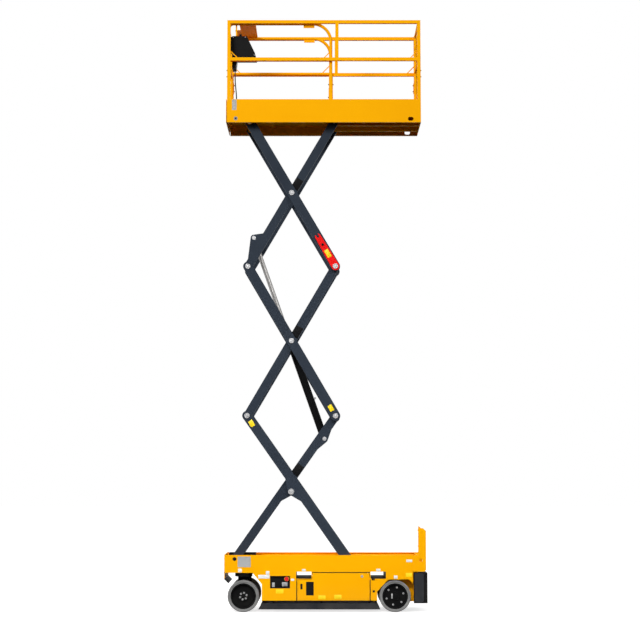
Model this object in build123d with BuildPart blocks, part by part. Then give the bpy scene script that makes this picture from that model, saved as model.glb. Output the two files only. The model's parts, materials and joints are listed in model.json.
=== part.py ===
import os
from math import atan2, cos, degrees, radians, sin, tan

from build123d import *

os.makedirs("parts", exist_ok=True)

# Overall frame, millimetres: X runs to the rear, Z up, origin on the ground below the middle
half_width = 405
plate = 6

# Wheels
tyre_radius = 190.5
tyre_width = 127
tyre_depth = 36
front_axle_x = -995
rear_axle_x = 845
wheel_face_y = half_width - 5
wheel_mid_y = wheel_face_y - tyre_width / 2
axle_radius = 28
running_gap = 0.05
seat_gap = 0.3

# Chassis panels
side_outer_y = half_width - plate
side_inner_y = side_outer_y - plate
panel_top_z = 684
panel_bottom_z = 128
panel_front_x = -1222
panel_rear_x = 1129
deck_top_z = 496
deck_low_z = deck_top_z - plate
flange_width = 22

# Fork pockets and centre well in the scissor deck
pocket_length = 185
pocket_height = 85
pocket_low_z = 400
pocket_wall = 5
pocket_mids_x = (-262.5, 640.5)
well_front_x = -158
well_rear_x = 85
well_half_width = 340
well_floor_z = 455

# Scissor linkage: three levels, angles in degrees
arm_half = 1078
top_arm_trim = 28
arm_half_top = arm_half - top_arm_trim
raise_angle = 59.63
stowed_angle = 4
low_bend = 9.6
base_pin_x = -1111.5
base_pin_z = 624
outer_depth = 118
inner_depth = 104
arm_width = 40
low_inner_y = 135
upper_inner_y = 180
upper_outer_y = 225
low_outer_y = 277
pin_radius = 22
head_radius = 33
boss_radius = 42
roller_radius = 28

# Lift cylinder
foot_along = 307
foot_offset = 50
eye_along = 351
eye_offset = 123
barrel_radius = 47.5
rod_radius = 28
barrel_length = 1300
cylinder_pin_radius = 25

# Platform: heights are measured from the upper scissor pins or from the floors
platform_front_x = -1228
platform_rear_x = 1195
floor_rise = 83.62
skirt_drop = 126
toe_board_height = 162
extension_lift = 12
rail_height = 1173
mid_rail_height = 695
rail_size = 40
extension_lead = 12
extension_rail_height = 1132
extension_rail_radius = 19
extension_rail_y = half_width - 69
extension_rear_x = 71


def shift(point, length, angle):
    # Point moved in the side plane along a direction given in degrees
    turn = radians(angle)
    return (point[0] + length * cos(turn), point[1] + length * sin(turn))


def heading(start, end):
    # Direction in degrees from one side-plane point to another
    return degrees(atan2(end[1] - start[1], end[0] - start[0]))


def spread(start, end):
    # Distance between two side-plane points
    return ((end[0] - start[0]) ** 2 + (end[1] - start[1]) ** 2) ** 0.5


def across(outline, low_y, high_y, mode=Mode.ADD):
    # Side-plane outline given thickness between two Y values
    extrude(outline.moved(Location((0, high_y, 0))), amount=high_y - low_y, dir=(0, -1, 0), mode=mode)


def both(outline, low_y, high_y, mode=Mode.ADD):
    # The same outline on the left and right sides
    across(outline, low_y, high_y, mode)
    across(outline, -high_y, -low_y, mode)


def disc(point, radius):
    with BuildSketch(Plane.XZ) as face:
        with Locations(point):
            Circle(radius)
    return face.sketch


def panel(points):
    with BuildSketch(Plane.XZ) as face:
        with BuildLine():
            Polyline(*points, close=True)
        make_face()
    return face.sketch


def rect(low_x, high_x, low_z, high_z):
    return panel([(low_x, low_z), (high_x, low_z), (high_x, high_z), (low_x, high_z)])


def bar(start, end, depth):
    # Straight round-ended arm outline
    with BuildSketch(Plane.XZ) as face:
        with Locations(((start[0] + end[0]) / 2, (start[1] + end[1]) / 2)):
            SlotCenterToCenter(spread(start, end), depth, rotation=heading(start, end))
    return face.sketch


def web(points, radii):
    # Plate that wraps several round bosses
    with BuildSketch(Plane.XZ) as face:
        for point, radius in zip(points, radii):
            with Locations(point):
                Circle(radius)
        make_hull()
    return face.sketch


def block(low_x, high_x, low_y, high_y, low_z, high_z, mode=Mode.ADD):
    # Rectangular solid between limits
    size = (high_x - low_x, high_y - low_y, high_z - low_z)
    middle = ((low_x + high_x) / 2, (low_y + high_y) / 2, (low_z + high_z) / 2)
    with Locations(middle):
        Box(*size, mode=mode)


def rod(start, end, radius, mode=Mode.ADD):
    # Round bar between two points in space
    path = Vector(*end) - Vector(*start)
    with BuildSketch(Plane(origin=start, z_dir=path)) as face:
        Circle(radius)
    extrude(face.sketch, amount=path.length, mode=mode)


# Scissor pin positions in the side plane
low_angle = raise_angle - low_bend
left_angle = 180 - raise_angle
pin_b1 = (base_pin_x, base_pin_z)
pin_c1 = shift(pin_b1, arm_half, low_angle)
pin_b2 = shift(pin_c1, arm_half, -low_angle)
pin_t1r = shift(pin_c1, arm_half, raise_angle)
pin_t1l = shift(pin_c1, arm_half, left_angle)
pin_c2 = shift(pin_t1r, arm_half, left_angle)
pin_t2l = shift(pin_c2, arm_half, left_angle)
pin_t2r = shift(pin_c2, arm_half, raise_angle)
pin_c3 = shift(pin_t2l, arm_half, raise_angle)
pin_t3r = shift(pin_c3, arm_half_top, raise_angle)
pin_t3l = shift(pin_c3, arm_half_top, left_angle)
roller_stowed_x = base_pin_x + 2 * arm_half * cos(radians(stowed_angle - low_bend))

# Platform levels above the upper pins
floor_low_z = pin_t3r[1] + floor_rise
floor_top_z = floor_low_z + plate
skirt_low_z = floor_low_z - skirt_drop
skirt_top_z = floor_top_z + toe_board_height
extension_floor_z = floor_top_z + extension_lift
rail_top_z = floor_top_z + rail_height
mid_rail_top_z = floor_top_z + mid_rail_height
extension_top_z = extension_floor_z + extension_rail_height
extension_front_x = platform_front_x - extension_lead

# Cylinder pins and axis
low_run = heading(pin_b1, pin_t1r)
foot_seat = shift(pin_t1r, -foot_along, low_run)
pin_foot = shift(foot_seat, foot_offset, low_run - 90)
eye_seat = shift(pin_t2l, eye_along, raise_angle)
pin_eye = shift(eye_seat, eye_offset, raise_angle + 90)
cylinder_angle = heading(pin_foot, pin_eye)
cylinder_length = spread(pin_foot, pin_eye)

# Chassis side outline with wheel arches
side_outline = [
    (panel_front_x, 471),
    (-884, 471),
    (-771, 336),
    (-771, panel_bottom_z),
    (627, panel_bottom_z),
    (627, 249),
    (764, 392),
    (1014, 392),
    (1062, 342),
    (1062, 486),
    (panel_rear_x, 486),
    (panel_rear_x, panel_top_z),
    (panel_front_x, panel_top_z),
]

# Tray door outline, notched below the front fork pocket
door_front_x = -341
door_rear_x = 533
door_low_z = 141
door_top_z = 469
notch_x = -158
notch_z = 388
door_gap = 5
door_depth = 24
door_skin = 4
door_outline = [
    (door_front_x, door_low_z),
    (door_rear_x, door_low_z),
    (door_rear_x, door_top_z),
    (notch_x, door_top_z),
    (notch_x, notch_z),
    (door_front_x, notch_z),
]
door_opening = [
    (door_front_x - door_gap, door_low_z - door_gap),
    (door_rear_x + door_gap, door_low_z - door_gap),
    (door_rear_x + door_gap, door_top_z + door_gap),
    (notch_x - door_gap, door_top_z + door_gap),
    (notch_x - door_gap, notch_z + door_gap),
    (door_front_x - door_gap, notch_z + door_gap),
]
hinge_x = door_rear_x + door_gap / 2
hinge_heights = (240, 391)
hinge_radius = 6
hinge_pin_radius = 3
hinge_length = 46

# Ground control recess, on the left side only
recess_front_x = -671
recess_rear_x = -429
recess_low_z = 285
recess_top_z = 434
recess_depth = 30

# Battery tray limits
tray_front_x = -700
tray_rear_x = 614
tray_low_z = 134

# Pothole guard hinge line
guard_hinge_z = 120
guard_hinge_y = 387
guard_pin_radius = 5
guard_lugs_x = (-640, -60, 520)
guard_lug_width = 24


def chassis_side(side):
    # One folded side panel with its pockets, door hinges and guard lugs
    low_y = min(side * side_inner_y, side * side_outer_y)
    high_y = max(side * side_inner_y, side * side_outer_y)
    across(panel(side_outline), low_y, high_y)
    across(panel(door_opening), low_y - 1, high_y + 1, Mode.SUBTRACT)
    for mid_x in pocket_mids_x:
        pocket = rect(mid_x - pocket_length / 2, mid_x + pocket_length / 2,
                      pocket_low_z, pocket_low_z + pocket_height)
        across(pocket, low_y - 1, high_y + 1, Mode.SUBTRACT)
    if side < 0:
        recess = rect(recess_front_x, recess_rear_x, recess_low_z, recess_top_z)
        across(recess, low_y - 1, high_y + 1, Mode.SUBTRACT)
    lip = rect(panel_front_x, panel_rear_x, panel_top_z - plate, panel_top_z)
    lip_y = side * (side_inner_y - flange_width)
    across(lip, min(lip_y, side * side_inner_y), max(lip_y, side * side_inner_y))
    hinge_y = side * side_outer_y
    for height in hinge_heights:
        low_z = height - hinge_length / 2
        third = hinge_length / 3
        rod((hinge_x, hinge_y, low_z + third - 0.5), (hinge_x, hinge_y, low_z + 2 * third + 0.5),
            hinge_radius + 0.5, Mode.SUBTRACT)
        rod((hinge_x, hinge_y, low_z), (hinge_x, hinge_y, low_z + hinge_length), hinge_pin_radius)
        rod((hinge_x, hinge_y, low_z), (hinge_x, hinge_y, low_z + third - 0.5), hinge_radius)
        rod((hinge_x, hinge_y, low_z + 2 * third + 0.5), (hinge_x, hinge_y, low_z + hinge_length),
            hinge_radius)
    lug_y = side * guard_hinge_y
    for lug_x in guard_lugs_x:
        inner_y = side * (guard_hinge_y - 8)
        lug = (min(inner_y, side * side_inner_y), max(inner_y, side * side_inner_y))
        block(lug_x, lug_x + guard_lug_width, lug[0], lug[1], guard_hinge_z - 8, tray_low_z)
        hole = (lug_x + guard_lug_width + 1, lug_y, guard_hinge_z)
        rod((lug_x - 1, lug_y, guard_hinge_z), hole, guard_pin_radius + running_gap, Mode.SUBTRACT)


# Chassis side panel, left
with BuildPart() as chassis_side_left:
    chassis_side(-1)
chassis_side_left.part.label = "chassis_side_left"
export_step(chassis_side_left.part, "parts/chassis_side_left.step")

# Chassis side panel, right
with BuildPart() as chassis_side_right:
    chassis_side(1)
chassis_side_right.part.label = "chassis_side_right"
export_step(chassis_side_right.part, "parts/chassis_side_right.step")

# Fork tunnels: two square tubes that run right across under the deck
with BuildPart() as fork_tunnels:
    for tunnel_x in pocket_mids_x:
        outer_half = pocket_length / 2 + pocket_wall
        block(tunnel_x - outer_half, tunnel_x + outer_half, -side_inner_y, side_inner_y,
              pocket_low_z - pocket_wall, deck_low_z)
        block(tunnel_x - pocket_length / 2, tunnel_x + pocket_length / 2, -side_inner_y, side_inner_y,
              pocket_low_z, pocket_low_z + pocket_height, Mode.SUBTRACT)
fork_tunnels.part.label = "fork_tunnels"
export_step(fork_tunnels.part, "parts/fork_tunnels.step")

# Scissor deck: floor of the open trough, centre well, base pin brackets and rear walls
kingpin_y = 290
kingpin_radius = 25
housing_radius = 42
housing_top_z = 525
housing_low_z = 470
inner_wall_y = 255
rear_wall_x = 1117
bracket_low_y = 116
bracket_high_y = 130
with BuildPart() as scissor_deck:
    block(panel_front_x, panel_rear_x - plate, -side_inner_y, side_inner_y, deck_low_z, deck_top_z)
    block(panel_rear_x - plate, panel_rear_x, -side_inner_y, side_inner_y, deck_low_z, panel_top_z - plate)
    block(well_front_x - 4, well_rear_x + 4, -well_half_width - 4, well_half_width + 4,
          well_floor_z - 4, deck_top_z)
    block(well_front_x, well_rear_x, -well_half_width, well_half_width, well_floor_z, deck_top_z,
          Mode.SUBTRACT)
    for wall_y in (-inner_wall_y, inner_wall_y - plate):
        block(680, rear_wall_x, wall_y, wall_y + plate, 120, pocket_low_z - pocket_wall)
        block(745, rear_wall_x, wall_y, wall_y + plate, pocket_low_z - pocket_wall, deck_low_z)
    block(rear_wall_x, panel_rear_x - plate, -side_inner_y, side_inner_y, 120, deck_low_z)
    foot_plate = web([pin_b1, (base_pin_x - 60, deck_top_z + 16), (base_pin_x + 90, deck_top_z + 16)],
                     [boss_radius, 20, 20])
    both(foot_plate, bracket_low_y, bracket_high_y)
    both(disc(pin_b1, 20 + running_gap), bracket_low_y - 1, bracket_high_y + 1, Mode.SUBTRACT)
    for pivot_y in (-kingpin_y, kingpin_y):
        rod((front_axle_x, pivot_y, housing_low_z), (front_axle_x, pivot_y, housing_top_z), housing_radius)
        rod((front_axle_x, pivot_y, housing_low_z - 1), (front_axle_x, pivot_y, housing_top_z + 1),
            kingpin_radius + running_gap, Mode.SUBTRACT)
scissor_deck.part.label = "scissor_deck"
export_step(scissor_deck.part, "parts/scissor_deck.step")

# Battery tray: bottom plate and bulkheads under the deck
with BuildPart() as battery_tray:
    block(tray_front_x, tray_rear_x, -side_inner_y, side_inner_y, tray_low_z, tray_low_z + plate)
    block(tray_front_x - plate, tray_front_x, -side_inner_y, side_inner_y, tray_low_z, deck_low_z)
    block(tray_rear_x, tray_rear_x + plate, -side_inner_y, side_inner_y,
          tray_low_z, pocket_low_z - pocket_wall)
battery_tray.part.label = "battery_tray"
export_step(battery_tray.part, "parts/battery_tray.step")

# Battery pack: four blocks side by side in one crate
pack_low_z = tray_low_z + plate
battery_front_x = -20
battery_length = 250
battery_width = 320
battery_height = 210
battery_gap = 10
crate_height = 20
with BuildPart() as battery_pack:
    for row in (0, 1):
        start_x = battery_front_x + row * (battery_length + battery_gap)
        for start_y in (-battery_gap - battery_width, battery_gap):
            block(start_x, start_x + battery_length, start_y, start_y + battery_width,
                  pack_low_z, pack_low_z + battery_height)
    block(battery_front_x, battery_front_x + 2 * battery_length + battery_gap, -battery_gap - battery_width,
          battery_gap + battery_width, pack_low_z, pack_low_z + crate_height)
battery_pack.part.label = "battery_pack"
export_step(battery_pack.part, "parts/battery_pack.step")

# Hydraulic unit: tank, pump bed and a round pump motor
unit_front_x = -640
unit_length = 270
tank_left_y = -300
tank_width = 360
tank_height = 220
bed_right_y = 320
bed_width = 230
bed_height = 160
motor_radius = 60
motor_inset = 40
with BuildPart() as hydraulic_unit:
    unit_rear_x = unit_front_x + unit_length
    bed_left_y = bed_right_y - bed_width
    motor_y = bed_right_y - bed_width / 2
    motor_z = pack_low_z + bed_height + motor_radius / 2
    block(unit_front_x, unit_rear_x, tank_left_y, tank_left_y + tank_width,
          pack_low_z, pack_low_z + tank_height)
    block(unit_front_x, unit_rear_x, bed_left_y, bed_right_y, pack_low_z, pack_low_z + bed_height)
    block(unit_front_x, unit_rear_x, tank_left_y + tank_width, bed_left_y,
          pack_low_z, pack_low_z + crate_height)
    rod((unit_front_x + motor_inset, motor_y, motor_z), (unit_rear_x - motor_inset, motor_y, motor_z),
        motor_radius)
hydraulic_unit.part.label = "hydraulic_unit"
export_step(hydraulic_unit.part, "parts/hydraulic_unit.step")

# Front bumper plate with its folded lower lip
bumper_x = panel_front_x
lip_x = panel_front_x + 50
lip_start_z = 399
lip_end_z = 349
with BuildPart() as front_bumper:
    bent = panel([
        (bumper_x - plate, panel_top_z + plate), (bumper_x, panel_top_z + plate), (bumper_x, lip_start_z),
        (lip_x, lip_end_z), (lip_x - 4, lip_end_z - 4), (bumper_x - plate, lip_start_z - 3),
    ])
    across(bent, -side_outer_y, side_outer_y)
front_bumper.part.label = "front_bumper"
export_step(front_bumper.part, "parts/front_bumper.step")

# Hydraulic valve block standing between the base pin brackets
valve_front_x = -1185
valve_rear_x = -860
valve_half_width = 98
valve_low_z = 652
valve_top_z = 700
valve_leg = 30
with BuildPart() as valve_block:
    block(valve_front_x, valve_rear_x, -valve_half_width, valve_half_width, valve_low_z, valve_top_z)
    for leg_x in (valve_front_x, valve_rear_x - valve_leg):
        block(leg_x, leg_x + valve_leg, -valve_half_width, valve_half_width, deck_top_z, valve_low_z)
    block(valve_rear_x - 160, valve_rear_x - 40, -valve_half_width + 28, valve_half_width - 28,
          valve_low_z - 32, valve_low_z)
valve_block.part.label = "valve_block"
export_step(valve_block.part, "parts/valve_block.step")

# Roller channels for the sliding feet of the lowest outer arms
channel_inner_y = 323
channel_web_y = 349
channel_lead = 93.5
channel_tail = 76
channel_front_x = pin_b2[0] - channel_lead
channel_rear_x = roller_stowed_x + channel_tail
channel_half = roller_radius + 1
with BuildPart() as roller_channels:
    for side in (-1, 1):
        near_y = min(side * channel_inner_y, side * (channel_web_y + plate))
        far_y = max(side * channel_inner_y, side * (channel_web_y + plate))
        block(channel_front_x, channel_rear_x, near_y, far_y,
              base_pin_z - channel_half - plate, base_pin_z + channel_half + plate)
        groove_low = min(side * (channel_inner_y - 1), side * channel_web_y)
        groove_high = max(side * (channel_inner_y - 1), side * channel_web_y)
        block(channel_front_x, channel_rear_x, groove_low, groove_high,
              base_pin_z - channel_half, base_pin_z + channel_half, Mode.SUBTRACT)
        arm_low = min(side * (channel_web_y + plate), side * side_inner_y)
        arm_high = max(side * (channel_web_y + plate), side * side_inner_y)
        for arm_x in (channel_front_x + 60, channel_front_x + 460, channel_front_x + 860):
            block(arm_x, arm_x + 12, arm_low, arm_high, base_pin_z - 24, base_pin_z + 24)
roller_channels.part.label = "roller_channels"
export_step(roller_channels.part, "parts/roller_channels.step")

# Moulded rear step that wraps the rear corners
step_wrap = 58
step_depth = 111
step_front_x = panel_rear_x - step_wrap
step_rear_x = panel_rear_x + step_depth
step_low_z = 107
step_top_z = 480
tread_depth = 60
tread_half_width = 210
tread_height = 100
with BuildPart() as rear_step:
    block(step_front_x, step_rear_x, -side_outer_y, side_outer_y, step_low_z, step_top_z)
    fillet(rear_step.edges().filter_by(Axis.Z).sort_by(Axis.X)[-2:], 28)
    fillet(rear_step.edges().group_by(Axis.Z)[-1].sort_by(Axis.X)[-1:], 22)
    block(step_front_x - 1, panel_rear_x - plate, -side_inner_y, side_inner_y,
          step_low_z - 1, step_top_z + 1, Mode.SUBTRACT)
    for tread_z in (step_low_z + 63, step_low_z + 213):
        block(step_rear_x - tread_depth, step_rear_x + 1, -tread_half_width, tread_half_width,
              tread_z, tread_z + tread_height, Mode.SUBTRACT)
rear_step.part.label = "rear_step"
export_step(rear_step.part, "parts/rear_step.step")

# Entry ladder: two corner plates that rise into stiles, with three rungs
ladder_top_z = 1009
ladder_low_z = 486
ladder_depth = 93
ladder_rear_x = panel_rear_x + ladder_depth
corner_front_x = panel_rear_x - 54
ladder_y = half_width
rung_x = panel_rear_x + 57
rung_radius = 16
lug_point = (panel_rear_x + 27, 618)
lug_hole_radius = 18
left_stile_width = ladder_depth
right_stile_width = 44
stile_chamfer = 34
stile_strip = 28


def ladder_stile(width):
    # Corner plate that rises into a stile of its own width
    stile_x = ladder_rear_x - width
    return panel([
        (corner_front_x, ladder_low_z), (ladder_rear_x - 20, ladder_low_z),
        (ladder_rear_x, ladder_low_z + 20), (ladder_rear_x, ladder_top_z - stile_chamfer),
        (ladder_rear_x - stile_chamfer, ladder_top_z), (stile_x, ladder_top_z),
        (stile_x, panel_top_z + 8), (stile_x - 8, panel_top_z), (corner_front_x, panel_top_z),
    ])


with BuildPart() as entry_ladder:
    across(ladder_stile(left_stile_width), -ladder_y, -side_outer_y)
    across(ladder_stile(right_stile_width), side_outer_y, ladder_y)
    both(disc(lug_point, lug_hole_radius + 8), side_outer_y - 1, ladder_y + 1, Mode.SUBTRACT)
    for rung_z in (ladder_low_z + 74, ladder_low_z + 274, ladder_low_z + 474):
        rod((rung_x, -side_outer_y, rung_z), (rung_x, side_outer_y, rung_z), rung_radius)
    right_strip_y = side_outer_y - stile_strip
    for strip_y, width in ((-side_outer_y, left_stile_width), (right_strip_y, right_stile_width)):
        strip_x = ladder_rear_x - width
        block(strip_x, strip_x + 5, strip_y, strip_y + stile_strip, panel_top_z + 8, ladder_top_z)
        block(ladder_rear_x - 5, ladder_rear_x, strip_y, strip_y + stile_strip,
              ladder_low_z + 20, ladder_top_z - stile_chamfer)
entry_ladder.part.label = "entry_ladder"
export_step(entry_ladder.part, "parts/entry_ladder.step")

# Tie-down lugs on the rear wall, behind the corner plates
with BuildPart() as tie_down_lugs:
    lug = panel([
        (panel_rear_x, lug_point[1] - 33), (lug_point[0], lug_point[1] - 33),
        (lug_point[0] + 24, lug_point[1] - 18), (lug_point[0] + 24, lug_point[1] + 18),
        (lug_point[0], lug_point[1] + 33), (panel_rear_x, lug_point[1] + 33),
    ])
    both(lug, side_outer_y - 10, side_outer_y)
    both(disc(lug_point, lug_hole_radius), side_outer_y - 11, side_outer_y + 1, Mode.SUBTRACT)
tie_down_lugs.part.label = "tie_down_lugs"
export_step(tie_down_lugs.part, "parts/tie_down_lugs.step")

# Ground control panel set in its recess
stop_point = (-471, 401)
switch_places_x = (-600, -540, -498)
switch_z = 328
with BuildPart() as ground_panel:
    block(recess_front_x, recess_rear_x, -side_outer_y, -side_outer_y + recess_depth,
          recess_low_z, recess_top_z)
    block(recess_front_x + 5, recess_rear_x - 5, -side_outer_y, -side_outer_y + recess_depth - 5,
          recess_low_z + 5, recess_top_z - 5, Mode.SUBTRACT)
    for switch_x in switch_places_x:
        across(disc((switch_x, switch_z), 9), -side_outer_y + 10, -side_outer_y + recess_depth - 5)
ground_panel.part.label = "ground_panel"
export_step(ground_panel.part, "parts/ground_panel.step")

# Emergency stop button
with BuildPart() as stop_button:
    across(disc((stop_point[0], stop_point[1] - 4), 14), -side_outer_y + 12, -side_outer_y + recess_depth - 5)
    across(disc((stop_point[0], stop_point[1] - 4), 22), -side_outer_y + 2, -side_outer_y + 12)
stop_button.part.label = "stop_button"
export_step(stop_button.part, "parts/stop_button.step")

# Rear axle stubs on the inner walls
stub_shoulder_y = inner_wall_y + 13
axle_end_y = wheel_face_y - 40
with BuildPart() as rear_axle_stubs:
    for side in (-1, 1):
        wall_point = (rear_axle_x, side * inner_wall_y, tyre_radius)
        shoulder_point = (rear_axle_x, side * stub_shoulder_y, tyre_radius)
        rod(wall_point, shoulder_point, 80)
        rod(shoulder_point, (rear_axle_x, side * axle_end_y, tyre_radius), axle_radius)
rear_axle_stubs.part.label = "rear_axle_stubs"
export_step(rear_axle_stubs.part, "parts/rear_axle_stubs.step")

# Base pivot shaft of the lowest inner arms
with BuildPart() as base_pin:
    both(disc(pin_b1, 20), 0, low_inner_y + arm_width + 0.5)
    both(disc(pin_b1, 30), bracket_low_y - 12, bracket_low_y)
    both(disc(pin_b1, 30), low_inner_y + arm_width + 0.5, low_inner_y + arm_width + 1.8)
base_pin.part.label = "base_pin"
export_step(base_pin.part, "parts/base_pin.step")


def tray_door(side):
    # Folded pan door on two hinge straps
    skin_y = side * (side_outer_y - door_skin)
    back_y = side * (side_outer_y - door_depth)
    across(panel(door_outline), min(skin_y, side * side_outer_y), max(skin_y, side * side_outer_y))
    across(panel(door_outline), min(back_y, skin_y), max(back_y, skin_y))
    inside = offset(panel(door_outline), amount=-door_skin, kind=Kind.INTERSECTION, mode=Mode.PRIVATE)
    across(inside, min(back_y - side, skin_y), max(back_y - side, skin_y), Mode.SUBTRACT)
    hinge_y = side * side_outer_y
    for height in hinge_heights:
        third = hinge_length / 3
        low_z = height - hinge_length / 2 + third
        for notch_low_z in (low_z - third - 0.5, low_z + third):
            rod((hinge_x, hinge_y, notch_low_z), (hinge_x, hinge_y, notch_low_z + third + 0.5),
                hinge_radius + 0.5, Mode.SUBTRACT)
        rod((hinge_x, hinge_y, low_z), (hinge_x, hinge_y, low_z + third), hinge_radius)
        rod((hinge_x, hinge_y, low_z - 1), (hinge_x, hinge_y, low_z + third + 1),
            hinge_pin_radius + running_gap, Mode.SUBTRACT)


# Tray door, left
with BuildPart() as tray_door_left:
    tray_door(-1)
tray_door_left.part.label = "tray_door_left"
export_step(tray_door_left.part, "parts/tray_door_left.step")

# Tray door, right
with BuildPart() as tray_door_right:
    tray_door(1)
tray_door_right.part.label = "tray_door_right"
export_step(tray_door_right.part, "parts/tray_door_right.step")

guard_top_z = guard_hinge_z - 14
guard_low_z = 32


def pothole_guard(side):
    # Slant-ended guard plate hung from its hinge rod
    outline = panel([(-815, guard_low_z), (667, guard_low_z), (635, guard_top_z), (-772, guard_top_z)])
    low_y = min(side * (guard_hinge_y - 3), side * (guard_hinge_y + 3))
    across(outline, low_y, low_y + plate)
    hinge_y = side * guard_hinge_y
    rod((-700, hinge_y, guard_hinge_z), (600, hinge_y, guard_hinge_z), guard_pin_radius)
    for knuckle_x in (-680, -400, -240, 160, 360, 565):
        block(knuckle_x, knuckle_x + 20, low_y, low_y + plate, guard_top_z - 1, guard_hinge_z + 3)


# Pothole guard, left
with BuildPart() as pothole_guard_left:
    pothole_guard(-1)
pothole_guard_left.part.label = "pothole_guard_left"
export_step(pothole_guard_left.part, "parts/pothole_guard_left.step")

# Pothole guard, right
with BuildPart() as pothole_guard_right:
    pothole_guard(1)
pothole_guard_right.part.label = "pothole_guard_right"
export_step(pothole_guard_right.part, "parts/pothole_guard_right.step")

steer_arm = 80
steer_pin_radius = 8
flange_low_z = 425
flange_top_z = 462
neck_outer_y = 262
neck_inner_y = 246


def steer_knuckle(side):
    # Kingpin, round head, neck plate, wheel drive and stub axle
    pivot_y = side * kingpin_y
    rod((front_axle_x, pivot_y, flange_low_z), (front_axle_x, pivot_y, flange_top_z), 105)
    rod((front_axle_x, pivot_y, flange_top_z), (front_axle_x, pivot_y, housing_top_z - 3), kingpin_radius)
    neck = web([(front_axle_x - 55, flange_low_z + 8), (front_axle_x + 55, flange_low_z + 8),
                (front_axle_x, tyre_radius)], [15, 15, 75])
    across(neck, min(side * neck_inner_y, side * neck_outer_y), max(side * neck_inner_y, side * neck_outer_y))
    rod((front_axle_x, side * 160, tyre_radius), (front_axle_x, side * neck_inner_y, tyre_radius), 62)
    rod((front_axle_x, side * neck_outer_y, tyre_radius), (front_axle_x, side * axle_end_y, tyre_radius),
        axle_radius)
    rod((front_axle_x + steer_arm, pivot_y, flange_top_z), (front_axle_x + steer_arm, pivot_y, 485),
        steer_pin_radius)


# Steering knuckle, left
with BuildPart() as steer_knuckle_left:
    steer_knuckle(-1)
steer_knuckle_left.part.label = "steer_knuckle_left"
export_step(steer_knuckle_left.part, "parts/steer_knuckle_left.step")

# Steering knuckle, right
with BuildPart() as steer_knuckle_right:
    steer_knuckle(1)
steer_knuckle_right.part.label = "steer_knuckle_right"
export_step(steer_knuckle_right.part, "parts/steer_knuckle_right.step")

# Tie rod between the steering heads
tie_low_z = 467
tie_top_z = 483
tie_x = front_axle_x + steer_arm
with BuildPart() as tie_rod:
    block(tie_x - 8, tie_x + 8, -kingpin_y, kingpin_y, tie_low_z, tie_top_z)
    for eye_y in (-kingpin_y, kingpin_y):
        rod((tie_x, eye_y, tie_low_z), (tie_x, eye_y, tie_top_z), 16)
    for eye_y in (-kingpin_y, kingpin_y):
        rod((tie_x, eye_y, tie_low_z - 1), (tie_x, eye_y, tie_top_z + 1),
            steer_pin_radius + running_gap, Mode.SUBTRACT)
tie_rod.part.label = "tie_rod"
export_step(tie_rod.part, "parts/tie_rod.step")


tyre_chamfer = 10
front_hub_reach = 26
rear_hub_reach = 34
hub_radius = 54


def wheel_section(axle_x, side, profile):
    # Wheel profile, listed as distance from the middle and radius, turned about its axle
    with BuildSketch(Plane(origin=(axle_x, 0, tyre_radius), x_dir=(0, 1, 0), z_dir=(1, 0, 0))) as section:
        with BuildLine():
            Polyline(*[(side * across_y, radius) for across_y, radius in profile], close=True)
        make_face()
    revolve(section.sketch, axis=Axis((axle_x, 0, tyre_radius), (0, 1, 0)))


def tyre_band(axle_x, side):
    # Solid tyre band with bevelled shoulders
    seat = tyre_radius - tyre_depth
    inner_y = wheel_face_y - tyre_width
    wheel_section(axle_x, side, [
        (inner_y, seat), (wheel_face_y, seat), (wheel_face_y, tyre_radius - tyre_chamfer),
        (wheel_face_y - tyre_chamfer, tyre_radius), (inner_y + tyre_chamfer, tyre_radius),
        (inner_y, tyre_radius - tyre_chamfer),
    ])


def rim_dish(axle_x, side, hub_reach):
    # Dished disc wheel with a flat seat under the tyre, a bored hub and its cap
    seat = tyre_radius - tyre_depth
    bore = axle_radius + running_gap
    wheel_section(axle_x, side, [
        (wheel_face_y - 6, seat), (wheel_face_y - 6, seat - 12), (wheel_face_y - 42, seat - 18),
        (wheel_face_y - 42, hub_radius + 6), (wheel_face_y - hub_reach, hub_radius),
        (wheel_face_y - hub_reach, bore), (wheel_face_y - tyre_width + 8, bore),
        (wheel_face_y - tyre_width + 8, hub_radius - 2), (wheel_face_y - 56, hub_radius + 6),
        (wheel_face_y - 56, seat - 18), (wheel_face_y - tyre_width + 6, seat - 12),
        (wheel_face_y - tyre_width + 6, seat),
    ])
    cap_low = min(side * (wheel_face_y - hub_reach), side * (wheel_face_y - hub_reach + 4))
    across(disc((axle_x, tyre_radius), hub_radius), cap_low, cap_low + 4)


# Wheels: a tyre and a rim at each corner
axle_ends = (("front", front_axle_x, front_hub_reach), ("rear", rear_axle_x, rear_hub_reach))
for end_name, axle_x, hub_reach in axle_ends:
    for side_name, side in (("left", -1), ("right", 1)):
        with BuildPart() as tyre:
            tyre_band(axle_x, side)
        tyre.part.label = f"tyre_{end_name}_{side_name}"
        export_step(tyre.part, f"parts/tyre_{end_name}_{side_name}.step")
        with BuildPart() as rim:
            rim_dish(axle_x, side, hub_reach)
        rim.part.label = f"rim_{end_name}_{side_name}"
        export_step(rim.part, f"parts/rim_{end_name}_{side_name}.step")


def bores(points, radius, low_y):
    # Pivot bores through both arms of a pair
    for point in points:
        both(disc(point, radius), low_y - 1, low_y + arm_width + 1, Mode.SUBTRACT)


pin_bore = pin_radius + running_gap
bend_reach = 210
foot_bracket_reach = 190
eye_bracket_tail = 270
eye_bracket_nose = 110

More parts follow.
